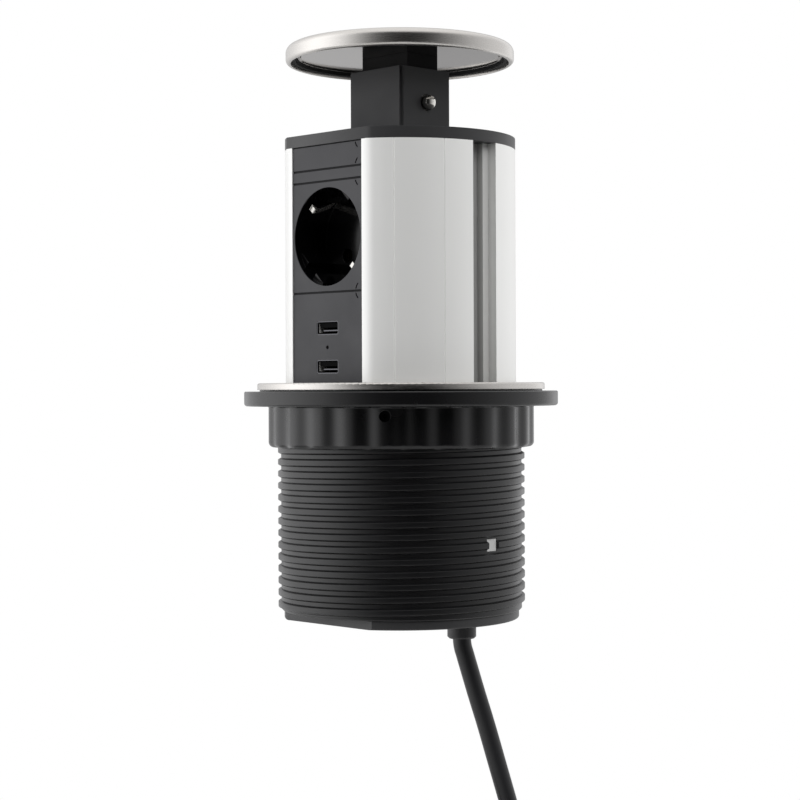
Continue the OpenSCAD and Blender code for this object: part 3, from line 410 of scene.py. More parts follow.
@dataclass(frozen=True)
class CircuitBoard(Finish):
    """Green solder mask on glass laminate, with copper tracks that show a shade lighter."""
    mask: str = "1f5a38"
    track: str = "2d7048"

    def grain(self, skin: Skin) -> None:
        """Adds square-cornered tracks 1.5 mm apart as a change of shade.

        Args:
            skin: the material's tree.
        """
        skin.give(Base_Color=skin.do("ShaderNodeTexBrick", {
            "Vector": skin.place, "Color1": linear(self.colour), "Color2": linear(self.mask),
            "Mortar": linear(self.track), "Scale": 300.0, "Mortar Size": 0.03}, "Color"))


# Glass-filled polyamide, moulded: nearly black, matt, with a soft grey gleam at the sides
SLEEVE_BLACK = MouldedPlastic("Black polyamide", "0e0e0f", 0.33, edge_mm=0.2, grain_mm=0.3, grain_deep=0.006)
# The nut's polyamide comes from another mould, a little glossier
NUT_BLACK = MouldedPlastic("Black polyamide, nut", "0c0c0d", 0.26, edge_mm=0.4, grain_mm=0.3,
                           grain_deep=0.005)
# Black ABS with a satin skin, as on the caps
CAP_BLACK = MouldedPlastic("Black ABS, caps", "2b2b2c", 0.42, edge_mm=0.3)
# Dark grey ABS of the module plates: eroded skin, so it is matt
PANEL_GREY = PanelPlastic("Dark grey ABS, module plates", "313134", 0.55, edge_mm=0.12, grain_mm=0.25,
                          grain_deep=0.014)
# The neck's plastic is a shade lighter than the caps
NECK_GREY = MouldedPlastic("Dark grey ABS, neck", "303031", 0.5, edge_mm=0.3, reflection=0.25)
# Polished black polycarbonate: clear reflections
CUP_GLOSS = MouldedPlastic("Polished black polycarbonate", "050506", 0.14, edge_mm=0.3, grain_mm=0.6,
                           grain_deep=0.001, spread=0.02, reflection=0.22)
# The lid's stem has a dull skin, and is coloured darker than the caps: painted shade under the lid
SHADED_STEM_BLACK = MouldedPlastic("Black ABS, lid stem", "080809", 0.5, edge_mm=0.3, reflection=0.1)
# Inside the ports hardly any light comes back
PORT_BLACK = MouldedPlastic("Black polyamide, port tongues", "060607", 0.6, edge_mm=0.1, reflection=0.04)
# Natural light grey acetal, slippery and a little waxy
SLIDE_GREY = MouldedPlastic("Light grey acetal", "b4b4b3", 0.4, edge_mm=0.25, grain_deep=0.004)
# Stainless steel 1.4301, brushed while it turned
RING_STEEL = TurnedMetal("Brushed stainless steel, ring", "cfccc8", 0.27, edge_mm=0.3)
# The same steel for the lid's hat, with finer lines
LID_STEEL = TurnedMetal("Brushed stainless steel, lid", "cfccc8", 0.28, edge_mm=0.4, line_mm=0.2,
                        line_deep=0.002, spread=0.04)
# The lid's back plate is the same sheet, polished like a mirror, but coloured darker than polished steel:
# painted shade under the lid
SHADED_MIRROR_STEEL = PlainMetal("Polished stainless steel", "a9a6a3", 0.09, edge_mm=0.2)
# Nickel-plated spring steel: screws, clips, springs
PLATED_STEEL = PlainMetal("Nickel-plated steel", "c9c7c2", 0.24, edge_mm=0.1)
# Black nickel of the ports' shells
BLACK_NICKEL = PlainMetal("Black nickel", "58585b", 0.22, edge_mm=0.1)
# The ports' fingers are tin plate, drawn as a light grey that scatters and has no mirror: a painted glint in
# the dark port
TIN_PAINTED_GLINT = MouldedPlastic("Matt tin plate", "b4b3b0", 0.5, edge_mm=0.1, grain_deep=0.002)
# Polished chrome of the release button
CHROME = PlainMetal("Chrome", "e4e2dc", 0.15, edge_mm=0.2)
# Tinned brass of the socket's contacts, coloured dark grey: painted shade inside the holes
SHADED_TINNED_BRASS = PlainMetal("Tinned brass", "6f6a60", 0.35, edge_mm=0.1)
# Natural anodised extruded aluminium: the anodised skin scatters, so much of it looks pale like paint
PROFILE_ALUMINIUM = Anodised("Anodised aluminium", "ececea", 0.42, edge_mm=0.15, brushing=Brushing.ALONG_Z,
                             line_mm=0.5, line_deep=0.002, spread=0.04)
# Black nitrile rubber: dull, hardly any reflection
SEAL_RUBBER = MouldedPlastic("Black nitrile rubber", "0e0e0e", 0.7, edge_mm=0.4, grain_mm=0.5,
                             grain_deep=0.01, reflection=0.3)
# PVC jacket of the lead, drawn through a die: smooth, faintly waxy
LEAD_JACKET = MouldedPlastic("Black PVC lead jacket", "161618", 0.42, edge_mm=0.2, grain_mm=1.2,
                             grain_deep=0.02)
# Nylon hook-and-loop strap
TIE_STRAP = WovenStrap("Black nylon strap", "161617", 0.85, edge_mm=0.1)
# Solder mask
BOARD_GREEN = CircuitBoard("Green solder mask", "174c2e", 0.4, edge_mm=0.1)

# Which finish the CAD nodes wear where they show themselves
NODE_FINISHES: dict[Finish, tuple[str, ...]] = {
    RING_STEEL: ("trim_ring",),
    NUT_BLACK: ("slip_washer",),
    PORT_BLACK: ("nut_lock_screw", "port_tongues", "indicator_lens"),
    PROFILE_ALUMINIUM: ("tower_profile",),
    CAP_BLACK: ("top_cap", "bottom_cap", "socket_rear_cover", "latch_guide", "cord_gland", "terminal_block"),
    PANEL_GREY: ("upper_blank", "spacer_strip", "socket_plate", "charger_plate", "lower_blank"),
    CUP_GLOSS: ("socket_cup",),
    PLATED_STEEL: ("earth_contact", "gland_nut", "plug_pins"),
    SHADED_TINNED_BRASS: ("live_contact", "neutral_contact"),
    BLACK_NICKEL: ("port_shells",),
    BOARD_GREEN: ("charger_board",),
    NECK_GREY: ("neck",),
    SHADED_STEM_BLACK: ("lid_stem",),
    LID_STEEL: ("lid_shell",),
    SHADED_MIRROR_STEEL: ("lid_backplate",),
    SEAL_RUBBER: ("lid_seal",),
    CHROME: ("release_button",),
    SLIDE_GREY: ("push_rod", "latch_slider"),
}


# Meshes

def put_in_scene(name: str, mesh: Mesh) -> bpy.types.Object:
    """Puts a mesh in the scene as a new object at the origin.

    Args:
        name: the object's name.
        mesh: its mesh.

    Returns:
        The object.
    """
    made = bpy.data.objects.new(name, mesh)
    bpy.context.scene.collection.objects.link(made)
    return made


def show(name: str, mesh: Mesh, finish: Finish, body: str, replaces: Sequence[str] = (),
         sharp: float = 32.0) -> bpy.types.Object:
    """Puts a closed mesh in the scene as a piece, with its finish, its smooth and sharp edges, and its body.

    Args:
        name: the piece's name.
        mesh: its mesh.
        finish: what it is made of.
        body: the CAD body that carries it.
        replaces: CAD nodes that it stands for.
        sharp: edges that turn by more than this many degrees stay sharp.

    Returns:
        The new object.
    """
    made = put_in_scene(name, mesh)
    mesh.name = name
    mesh.polygons.foreach_set("use_smooth", [True] * len(mesh.polygons))
    mesh.set_sharp_from_angle(angle=math.radians(sharp))
    mesh.materials.clear()
    mesh.materials.append(finish.material())
    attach(made, body)
    if replaces:
        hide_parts(*replaces)
    LOG.info("%s: %d faces, rides on %s", made.name, len(mesh.polygons), body)
    return made


def baked(work: bmesh.types.BMesh) -> Mesh:
    """Turns the faces outwards and keeps the work as a mesh.

    Args:
        work: the work, which is freed.

    Returns:
        The mesh.
    """
    bmesh.ops.recalc_face_normals(work, faces=work.faces)
    mesh = bpy.data.meshes.new("Mesh")
    work.to_mesh(mesh)
    work.free()
    return mesh


def solid(points: Iterable[Sequence[float]], faces: Iterable[Sequence[int]]) -> Mesh:
    """Makes a closed mesh from its faces.

    Args:
        points: corners in millimetres.
        faces: corner numbers of each face.

    Returns:
        The mesh.
    """
    work = bmesh.new()
    corners = [work.verts.new([c * MM for c in p]) for p in points]
    for face in faces:
        work.faces.new([corners[i] for i in face])
    return baked(work)


def turned(outline: Sequence[Flat], columns: int, reach: Callable[[float, float, float], float] | None = None,
           centre: Sequence[float] = (0, 0, 0)) -> Mesh:
    """Turns a closed outline round the vertical axis.

    Args:
        outline: radius and height of each corner in millimetres, all the way round.
        columns: steps round the axis.
        reach: gives the radius for a corner's radius, height and angle where the piece isn't quite round.
        centre: where the axis stands.

    Returns:
        The closed mesh.
    """
    work = bmesh.new()
    rings = []
    for k in range(columns):
        angle = 2 * math.pi * k / columns
        corners = [(reach(r, z, angle) if reach else r, z) for r, z in outline]
        places = [(centre[0] + r * math.cos(angle), centre[1] + r * math.sin(angle), centre[2] + z)
                  for r, z in corners]
        rings.append([work.verts.new([MM * c for c in place]) for place in places])
    for ring, after in zip(rings, rings[1:] + rings[:1]):
        for face in zip(ring, after, after[1:] + after[:1], ring[1:] + ring[:1]):
            work.faces.new(face)
    bmesh.ops.remove_doubles(work, verts=work.verts, dist=1e-7)
    bmesh.ops.dissolve_degenerate(work, edges=work.edges, dist=1e-7)
    return baked(work)


def between(first: Sequence[int], second: Sequence[int]) -> Iterable[tuple[int, ...]]:
    """Returns the four-sided faces between two rings of corner numbers."""
    return zip(first, [*first[1:], first[0]], [*second[1:], second[0]], second)


def arc(middle: Flat, radius: float, start: float, end: float, steps: int = 6) -> list[Flat]:
    """Returns points of an arc in the outline's plane, from one angle to another in degrees."""
    turns = [math.radians(start + (end - start) * i / steps) for i in range(steps + 1)]
    return [(middle[0] + radius * math.cos(turn), middle[1] + radius * math.sin(turn)) for turn in turns]


def prism(outline: Iterable[Sequence[float]], along: Sequence[float]) -> Mesh:
    """Pushes a flat closed outline along a vector.

    Args:
        outline: corners in millimetres.
        along: how far along x, y and z, in millimetres.

    Returns:
        The closed mesh.
    """
    start = list(outline)
    near, far = list(range(len(start))), list(range(len(start), 2 * len(start)))
    end = [[c + push for c, push in zip(p, along)] for p in start]
    return solid([*start, *end], [near, far, *between(near, far)])


def cut_out(mesh: Mesh, cutters: Sequence[Mesh]) -> Mesh:
    """Takes the cutters' room out of a mesh.

    Args:
        mesh: the body's mesh.
        cutters: meshes of what is taken away.

    Returns:
        The mesh that is left.
    """
    body = put_in_scene("cut_body", mesh)
    tools = [put_in_scene(f"cutter_{i}", cutter) for i, cutter in enumerate(cutters)]
    for tool in tools:
        knife = body.modifiers.new(tool.name, "BOOLEAN")
        knife.operation, knife.solver, knife.object = "DIFFERENCE", "EXACT", tool
    result = evaluated(body)
    for tool in tools:
        bpy.data.objects.remove(tool)
    return result


def evaluated(carrier: bpy.types.Object) -> Mesh:
    """Takes the mesh that an object's modifiers make, and removes the object.

    Args:
        carrier: the object.

    Returns:
        The mesh.
    """
    graph = bpy.context.evaluated_depsgraph_get()
    mesh = bpy.data.meshes.new_from_object(carrier.evaluated_get(graph), depsgraph=graph)
    bpy.data.objects.remove(carrier)
    return mesh


# Geometry trees

class Recipe(Graph):
    """A geometry tree with named inputs, whose result is taken as a plain mesh."""

    def __init__(self, name: str) -> None:
        """Starts an empty tree with one geometry input and output.

        Args:
            name: the tree's name.
        """
        super().__init__(bpy.data.node_groups.new(name, "GeometryNodeTree"))
        for way in ("INPUT", "OUTPUT"):
            self.tree.interface.new_socket("Geometry", in_out=way, socket_type="NodeSocketGeometry")
        self.start = self.node("NodeGroupInput")

    def inputs(self, *names: str) -> list[Socket]:
        """Adds inputs for numbers.

        Args:
            *names: their names.

        Returns:
            What they give, in that order.
        """
        for name in names:
            self.tree.interface.new_socket(name, in_out="INPUT", socket_type="NodeSocketFloat")
        return [self.start.outputs[name] for name in names]

    def close(self, shape: Socket) -> None:
        """Takes the shape as the tree's result."""
        self.node("NodeGroupOutput", {0: shape})

    def end(self, shape: Socket, finish: Finish) -> None:
        """Closes the tree: real meshes only, with the finish's material."""
        real = self.do("GeometryNodeRealizeInstances", {"Geometry": shape})
        self.close(self.do("GeometryNodeSetMaterial", {"Geometry": real, "Material": finish.material()}))

    def bake(self, base: Mesh | None = None, **values: float) -> Mesh:
        """Runs the tree and keeps its result as a plain mesh.

        Args:
            base: a mesh for the tree's geometry input.
            **values: the named inputs, with _ for a space.

        Returns:
            The mesh.
        """
        carrier = put_in_scene("Carrier", base or bpy.data.meshes.new("Base"))
        modifier = carrier.modifiers.new("shape", "NODES")
        modifier.node_group = self.tree
        sockets = {s.name: s.identifier for s in self.tree.interface.items_tree if s.in_out == "INPUT"}
        for key, value in values.items():
            modifier[sockets[key.replace("_", " ")]] = float(value)
        return evaluated(carrier)

    def helix(self, steps: int) -> Socket:
        """Returns a right-handed helix with the inputs Turns, Pitch, Radius, Start angle and Start height.

        Args:
            steps: points for each turn.

        Returns:
            The curve.
        """
        turns, pitch, radius, angle, height = self.inputs("Turns", "Pitch", "Radius", "Start angle",
                                                          "Start height")
        rise = self.maths("MULTIPLY", turns, pitch)
        curve = self.do("GeometryNodeCurveSpiral", {
            "Resolution": steps, "Rotations": turns, "Start Radius": radius, "End Radius": radius,
            "Height": rise, "Reverse": True})
        spin, lift = (self.do("ShaderNodeCombineXYZ", {"Z": z}) for z in (angle, height))
        return self.do("GeometryNodeTransform", {"Geometry": curve, "Translation": lift, "Rotation": spin})

    def sweep(self, curve: Socket, profile: Socket) -> Socket:
        """Returns the closed shape of a profile swept along a curve."""
        sockets = {"Curve": curve, "Profile Curve": profile, "Fill Caps": True}
        return self.do("GeometryNodeCurveToMesh", sockets)


# Studio

@dataclass
class Studio:
    """Camera at the photograph's angle, a pale floor and soft light.

    azimuth and roll are in degrees, shift in widths of the picture. keys gives each soft box's degrees from
    the camera, degrees up and watts, and key_away and key_size its distance and width in metres. around
    gives the world's brightness at degrees from the camera, sky that overhead, and rise the heights between
    which one becomes the other.
    """
    azimuth: float = 46.0
    distance: float = 832.0
    height: float = 0.6
    lens: float = 87.98
    roll: float = 0.22
    shift: Flat = (-0.00125, -0.015)
    keys: tuple[tuple[float, float, float], ...] = ((-38.0, 35.0, 1.8), (36.0, 35.0, 8.6))
    key_away: float = 1.2
    key_size: float = 0.7
    around: tuple[Flat, ...] = (
        (-179, 0.6), (-130, 1.1), (-100, 1.75), (-80, 1.7), (-62, 1.25), (-46, 0.66), (-29, 0.2),
        (-14, 0.045), (0, 0.012), (16, 0.01), (31, 0.06), (48, 0.25), (65, 0.44), (83, 0.68), (105, 0.85),
        (125, 0.9), (150, 1.15), (168, 0.6), (179, 0.45))
    sky: float = 1.1
    rise: Flat = (0.5, 0.9)
    floor_gap: float = 0.5
    floor_half: float = 800.0
    paper: str = "c4c4c4"
    paper_glow: float = 0.02
    paper_rough: float = 0.9

    def way(self, aside: float = 0.0, up: float = 0.0) -> Vector:
        """Returns the direction from the part's axis at some degrees beside the camera and above it."""
        turn, lift = math.radians(self.azimuth + aside), math.radians(up)
        return Vector((math.sin(turn) * math.cos(lift), -math.cos(turn) * math.cos(lift), math.sin(lift)))

    def camera(self) -> None:
        """Sets the camera level with the worktop, as the photograph shows it."""
        data = bpy.data.cameras.new("Photo camera")
        data.lens, data.sensor_width = self.lens, 36.0
        data.shift_x, data.shift_y = self.shift
        data.clip_start, data.clip_end = 0.05, 20.0
        made = bpy.data.objects.new("Photo camera", data)
        place = (self.way() * self.distance + Vector((0.0, 0.0, self.height))) * MM
        look = Matrix.Translation(place)
        for degrees, axis in ((self.azimuth, "Z"), (90.0, "X"), (-self.roll, "Z")):
            look = look @ Matrix.Rotation(math.radians(degrees), 4, axis)
        made.matrix_world = look
        bpy.context.scene.collection.objects.link(made)
        bpy.context.scene.camera = made

    def light(self) -> None:
        """White all round, with a dark patch in front, which the smooth sides reflect as a dark band."""
        scene = bpy.context.scene
        scene.view_settings.view_transform = "Standard"
        scene.view_settings.look = "None"
        scene.world = bpy.data.worlds.new("Studio")
        scene.world.use_nodes = True
        world = Graph(scene.world.node_tree)
        world.tree.nodes.clear()
        way = world.do("ShaderNodeTexCoord", out="Generated")
        ahead, aside = (world.vector("DOT_PRODUCT", way, tuple(self.way(degrees)), out="Value")
                        for degrees in (0, 90))
        angle = world.maths("ARCTAN2", aside, ahead)
        share = world.maths("MULTIPLY_ADD", angle, 0.5 / math.pi, 0.5)
        ramp = world.node("ShaderNodeValToRGB", {"Fac": share})
        stops = ramp.color_ramp.elements
        for degrees, level in self.around:
            stops.new(0.5 + degrees / 360).color = (level, level, level * 1.01, 1.0)
        stops.remove(stops[0])
        stops.remove(stops[len(stops) - 1])
        high = world.span(world.parts(way)[2], *self.rise, interpolation_type="SMOOTHSTEP")
        sky = world.blend(high, ramp.outputs["Color"], (self.sky, self.sky, self.sky, 1.0))
        around, plain = (world.do("ShaderNodeBackground", {"Color": colour, "Strength": 1.0})
                         for colour in (sky, (1.0, 1.0, 1.0, 1.0)))
        seen = world.do("ShaderNodeLightPath", out="Is Camera Ray")
        mixed = world.do("ShaderNodeMixShader", {0: seen, 1: around, 2: plain})
        world.node("ShaderNodeOutputWorld", {"Surface": mixed})

    def key_lights(self) -> None:
        """Two large soft boxes, which brighten only what scatters."""
        for number, (aside, up, watts) in enumerate(self.keys):
            data = bpy.data.lights.new(f"Soft box {number}", "AREA")
            data.shape, data.size, data.energy = "SQUARE", self.key_size, watts
            box = bpy.data.objects.new(f"Soft box {number}", data)
            box.location = self.way(aside, up) * self.key_away
            box.rotation_euler = box.location.to_track_quat("Z", "Y").to_euler()
            box.visible_glossy = False
            bpy.context.scene.collection.objects.link(box)

    def floor(self) -> None:
        """A wide pale floor, low enough for the plug's pins when the tower is down."""
        low, r = CAD_BOX[0].z - (TOWER_TRAVEL + self.floor_gap) * MM, self.floor_half * MM
        mesh = bpy.data.meshes.new("Floor")
        mesh.from_pydata([(-r, -r, low), (r, -r, low), (r, r, low), (-r, r, low)], [], [(0, 1, 2, 3)])
        made = put_in_scene("Floor", mesh)
        paper = bpy.data.materials.new("White paper")
        paper.use_nodes = True
        shader = paper.node_tree.nodes["Principled BSDF"]
        for name, value in (("Base Color", linear(self.paper)), ("Roughness", self.paper_rough),
                            ("Emission Color", (1.0, 1.0, 1.0, 1.0)), ("Emission Strength", self.paper_glow)):
            shader.inputs[name].default_value = value
        mesh.materials.append(paper)


# Lead, coil and plug

@dataclass
class SupplyLead:
    """The lead: out of the gland, down, round a tied coil and into a plug. Values repeat the part's source.

    route holds places along the lead's upright plane, which stands at turn degrees, and heights.
    """
    diameter: float = 7.8
    turn: float = 46.0
    depth: float = 0.45
    route: tuple[Flat, ...] = (
        (25.45, -82), (25.45, -90), (25.45, -98), (25.45, -104), (25.8, -109), (26.9, -113), (28.9, -120),
        (31.8, -130), (35, -140.5), (38, -151), (40.8, -161), (43.4, -170.2), (45.9, -179.5), (47.7, -189),
        (48.7, -199), (49, -209), (49, -220), (49, -232.2))
    coil_inner: float = 32.5
    coil_step: float = 8.4
    loops: int = 5
    change: float = 0.25
    steps: int = 24
    gland: Place = (18.0, 18.0, -105.8)

    def in_plane(self, along: float, out: float, height: float) -> Vector:
        """Returns a place by its distances along and out of the lead's plane, in millimetres."""
        c, s = math.cos(math.radians(self.turn)), math.sin(math.radians(self.turn))
        return Vector((along * c + out * s, along * s - out * c, height))

    def coil_place(self, t: float) -> Vector:
        """Gives the coil's middle line: in, one layer up, and out again.

        Args:
            t: loops from the coil's start.

        Returns:
            The place in millimetres.
        """
        def layer(low: float, high: float) -> float:
            """Returns a smooth rise from 0 to 1 between two counts of loops."""
            s = min(1.0, max(0.0, (t - low) / (high - low)))
            return s * s * (3 - 2 * s)
        half = self.loops / 2
        radius = self.coil_inner + self.coil_step * abs(t - half)
        layers = layer(half - self.change, half + self.change) + layer(self.loops - self.change, self.loops)
        turn = 2 * math.pi * t
        return self.in_plane(self.coil_middle + radius * math.cos(turn), self.depth + self.coil_step * layers,
                             self.coil_z - radius * math.sin(turn))

    @property
    def coil_middle(self) -> float:
        """Place of the coil's centre along the lead's plane."""
        return self.route[-1][0] - self.coil_inner - self.coil_step * self.loops / 2

    @property
    def coil_z(self) -> float:
        """Height of the coil's centre."""
        return self.route[-1][1] - self.diameter

    @property
    def relief_top(self) -> float:
        """Height where the lead goes into the plug's relief."""
        return self.coil_z - self.diameter

    def end(self, height: float) -> Vector:
        """Returns the place at some height where the lead hangs down to the plug."""
        return self.in_plane(self.route[-1][0], self.depth + 2 * self.coil_step, height)

    def line(self) -> list[Vector]:
        """Joins the hanging part, the coil and the last straight part.

        Returns:
            The lead's middle line from the terminals to the plug.
        """
        hanging = [self.in_plane(along, self.depth, z) for along, z in self.route]
        coil = [self.coil_place(i / self.steps) for i in range(self.loops * self.steps + 1)]
        return hanging + coil + [self.end(self.relief_top)]

    def build(self) -> None:
        Plug(self).build()
        Tie(self).build()
        line = self.line()
        data = bpy.data.curves.new("supply_lead", "CURVE")
        data.dimensions, data.resolution_u, data.use_fill_caps = "3D", 3, True
        data.bevel_depth, data.bevel_resolution = self.diameter / 2 * MM, 5
        spline = data.splines.new("BEZIER")
        spline.bezier_points.add(len(line) - 1)
        for point, place in zip(spline.bezier_points, line):
            point.co = place * MM
            point.handle_left_type = point.handle_right_type = "AUTO"
        data.materials.append(LEAD_JACKET.material())
        lead = bpy.data.objects.new("supply_lead", data)
        bpy.context.scene.collection.objects.link(lead)
        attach(lead, "tower")
        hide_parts("cord_lead", "cord_coil")
        length = sum((b - a).length for a, b in zip(line, line[1:])) * MM
        [c * MM for c in self.gland]
        LOG.info("supply_lead: %.3f m long", length)


@dataclass
class Tie:
    """The strap round the top of the coil, whose ends overlap on the near side, as a loop and a tab.

    near, far, low and high are measured out of the lead's plane and up from the coil's centre.
    """
    lead: SupplyLead
    half_width: float = 7.0
    thick: float = 1.2
    near: float = -3.85
    far: float = 13.15
    low: float = 29.3
    high: float = 55.8
    corner: float = 3.2
    overlap: float = 17.0
    tab_inset: float = 0.3
    tab_down: float = 3.0
    tab_bevel: float = 1.4
    tab_sunk: float = 0.1

    def loop(self, grow: float) -> list[Flat]:
        """Gives the strap's outline.

        Args:
            grow: how far it is grown outwards.

        Returns:
            Places out of the plane and heights.
        """
        inset, radius = self.corner, self.corner + grow
        corners = [(self.near + inset, self.low + inset, 180), (self.far - inset, self.low + inset, 270),
                   (self.far - inset, self.high - inset, 0), (self.near + inset, self.high - inset, 90)]
        return [p for x, y, turn in corners for p in arc((x, y), radius, turn, turn + 90)]

    def build(self) -> None:
        """Makes the closed strap and its loose end as one piece."""
        out, top = self.near - self.thick, self.high - self.tab_down
        bottom = top - self.overlap
        foot, face = out - self.tab_sunk, out - self.thick
        tab = [(foot, top), (face, top - self.tab_bevel), (face, bottom), (foot, bottom)]
        edge = self.half_width - self.tab_inset
        rows = [(along, self.loop(grow)) for along in (-self.half_width, self.half_width)
                for grow in (0.0, self.thick)]
        points = [self.lead.in_plane(self.lead.coil_middle + along, o, self.lead.coil_z + up)
                  for along, row in [*rows, (-edge, tab), (edge, tab)] for o, up in row]
        count = len(rows[0][1])
        rings = [list(range(i * count, (i + 1) * count)) for i in range(len(rows))]
        start = len(rows) * count
        near, far = (list(range(first, first + len(tab))) for first in (start, start + len(tab)))
        faces = [near, far, *between(near, far)]
        for first, second in ((0, 1), (1, 3), (3, 2), (2, 0)):
            faces += between(rings[first], rings[second])
        show("coil_tie", solid(points, faces), TIE_STRAP, "tower", ["cord_tie"])


@dataclass
class Plug:
    """The lead's plug: a round body with earth grooves and finger ribs, and a ribbed relief."""
    lead: SupplyLead
    radius: float = 18.4
    length: float = 36.0
    edge: float = 1.0
    shoulder: float = 12.0
    shoulder_round: float = 2.0
    neck: float = 10.0
    neck_tall: float = 2.6
    neck_round: float = 1.6
    grips: int = 3
    grip_start: float = 12.0
    grip_step: float = 3.4
    grip: tuple[Flat, ...] = ((0.0, 1.5), (0.7, 2.1), (0.7, 2.9), (0.0, 3.5))
    groove_half: float = 3.0
    groove_deep: float = 1.5
    groove_end: float = 14.0
    groove_start: float = -1.0
    groove_out: float = 4.0
    strip_start: float = 1.5
    strip_sunk: float = 0.1
    strip: tuple[Flat, ...] = ((-2.1, 0.0), (2.1, 0.0), (1.7, 0.7), (-1.7, 0.7))
    strip_long: float = 17.0
    relief: float = 38.0
    relief_radius: float = 6.5
    relief_ends: float = 3.0
    ribs: int = 11
    rib_share: float = 0.3
    rib_round: float = 0.25
    rib_floor: float = 0.35
    last_rib: float = 0.9
    lip: tuple[Flat, ...] = ((0.7, 0.6), (0.3, 0.0), (0.0, 0.0))
    columns: int = 96

    def shell(self, top: float) -> list[Flat]:
        """Gives the body's outline.

        Args:
            top: height of its upper end.

        Returns:
            Radii and heights, from the face up.
        """
        r, face, shoulder = self.radius, top - self.length, top - self.shoulder
        start, edge = shoulder - self.grip_start, self.edge
        high, neck = self.shoulder_round, self.neck_round
        grips = [(r - deep, start + i * self.grip_step + up)
                 for i in range(self.grips) for deep, up in self.grip]
        return [(0.0, face), *arc((r - edge, face + edge), edge, -90, 0, 4), (r, start), *grips,
                *arc((r - high, shoulder), high, 0, 45, 4), (self.neck, top - self.neck_tall),
                *arc((self.neck - neck, top - neck), neck, 45, 90, 4), (0.0, top)]

    def build(self) -> None:
        """Makes the body, the relief and the two earth strips."""
        top = self.lead.relief_top - self.relief
        mesh = turned(self.shell(top), self.columns, centre=self.lead.end(0.0))
        base = self.lead.end(top - self.length)
        across = self.lead.in_plane(1.0, 0.0, 0.0)

        def bar(sign: int, start: Flat, section: Sequence[Flat], long: float) -> Mesh:
            """Makes an upright bar at the body's side.

            Args:
                sign: 1 or -1 for the side.
                start: distances from the axis and above the face.
                section: corners across and outwards.
                long: its length.

            Returns:
                The mesh.
            """
            side = self.lead.in_plane(0.0, -sign, 0.0)
            floor = base + side * start[0] + Vector((0.0, 0.0, start[1]))
            return prism([floor + across * a + side * b for a, b in section], (0.0, 0.0, long))

        half, floor = self.groove_half, self.radius - self.groove_deep
        groove = ((-half, 0.0), (half, 0.0), (half, self.groove_out), (-half, self.groove_out))
        cutters = [bar(sign, (floor, self.groove_start), groove, self.length - self.groove_end)
                   for sign in (-1, 1)]
        show("plug_shell", cut_out(mesh, cutters), LEAD_JACKET, "tower", ["plug_body"])
        start = (floor - self.strip_sunk, self.strip_start)
        for sign, name in ((-1, "earth_strip_a"), (1, "earth_strip_b")):
            show(name, bar(sign, start, self.strip, self.strip_long), PLATED_STEEL, "tower")
        self.make_relief(top)

    def make_relief(self, low: float) -> None:
        """Makes the relief, which narrows upwards, and whose grooves let it bend.

        Args:
            low: height of its lower end.
        """
        wire, high = self.lead.diameter / 2, low + self.relief
        step = (self.relief - 2 * self.relief_ends) / self.ribs
        floor = wire + self.rib_floor
        outline = [(wire, low), (self.relief_radius, low)]
        for i in range(self.ribs):
            base = low + self.relief_ends + i * step
            rib = base + step * self.rib_share
            r = self.relief_radius - (self.relief_radius - wire - self.last_rib) * i / self.ribs
            outline += [(r, base), (floor, base + self.rib_round), (floor, rib),
                        (r - 0.1, rib + self.rib_round)]
        outline += [(wire + out, high - down) for out, down in self.lip]
        mesh = turned(outline, self.columns // 2, centre=self.lead.end(0.0))
        show("plug_bend_relief", mesh, LEAD_JACKET, "tower", ["plug_relief"])


# Clamp and sleeve

@dataclass
class Thread:
    """A screw thread's ridge, swept along a helix by a geometry tree. Sizes are in millimetres."""
    pitch: float = 5.0
    steps: int = 144
    sunk: float = 0.25
    corner: float = 0.28

    def recipe(self, finish: Finish, inward: bool) -> Recipe:
        """Makes the tree: a helix, a trapezoid with rounded corners, and the sweep.

        Args:
            finish: the ridge's finish.
            inward: whether it stands towards the axis.

        Returns:
            The tree.
        """
        made = Recipe("Thread inward" if inward else "Thread outward")
        upright = made.do("GeometryNodeSetCurveNormal", {"Curve": made.helix(self.steps)}, mode="Z_UP")
        height, root, crest = made.inputs("Ridge height", "Root width", "Crest width")
        flat = made.do("GeometryNodeCurvePrimitiveQuadrilateral", {
            "Height": height, "Bottom Width": root, "Top Width": crest, "Offset": 0.0}, mode="TRAPEZOID")
        soft = made.do("GeometryNodeFilletCurve", {
            "Curve": flat, "Count": 3, "Radius": self.corner * MM, "Limit Radius": True}, mode="POLY")
        turn = math.radians(90 if inward else -90)
        profile = made.do("GeometryNodeTransform", {"Geometry": soft, "Rotation": (0.0, 0.0, turn)})
        made.end(made.sweep(upright, profile), finish)
        return made

    def ridge(self, name: str, finish: Finish, body: str, wall: float, height: float, root: float,
              crest: float, start: Flat, turns: float, inward: bool = False) -> None:
        """Makes one ridge on a round wall.

        Args:
            name: the piece's name.
            finish: its finish.
            body: the body that carries it.
            wall: radius of the wall.
            height: how far the ridge stands off the wall.
            root: its width at the wall.
            crest: its width at the crest.
            start: angle in degrees and height where it starts.
            turns: how far it winds.
            inward: whether it stands towards the axis.
        """
        middle = wall + (-1 if inward else 1) * (height - self.sunk) / 2
        wide = root + (root - crest) / height * self.sunk
        made = self.recipe(finish, inward).bake(
            Turns=turns, Pitch=self.pitch * MM, Radius=middle * MM, Start_angle=math.radians(start[0]),
            Start_height=start[1] * MM, Ridge_height=(height + self.sunk) * MM, Root_width=wide * MM,
            Crest_width=crest * MM)
        show(name, made, finish, body)


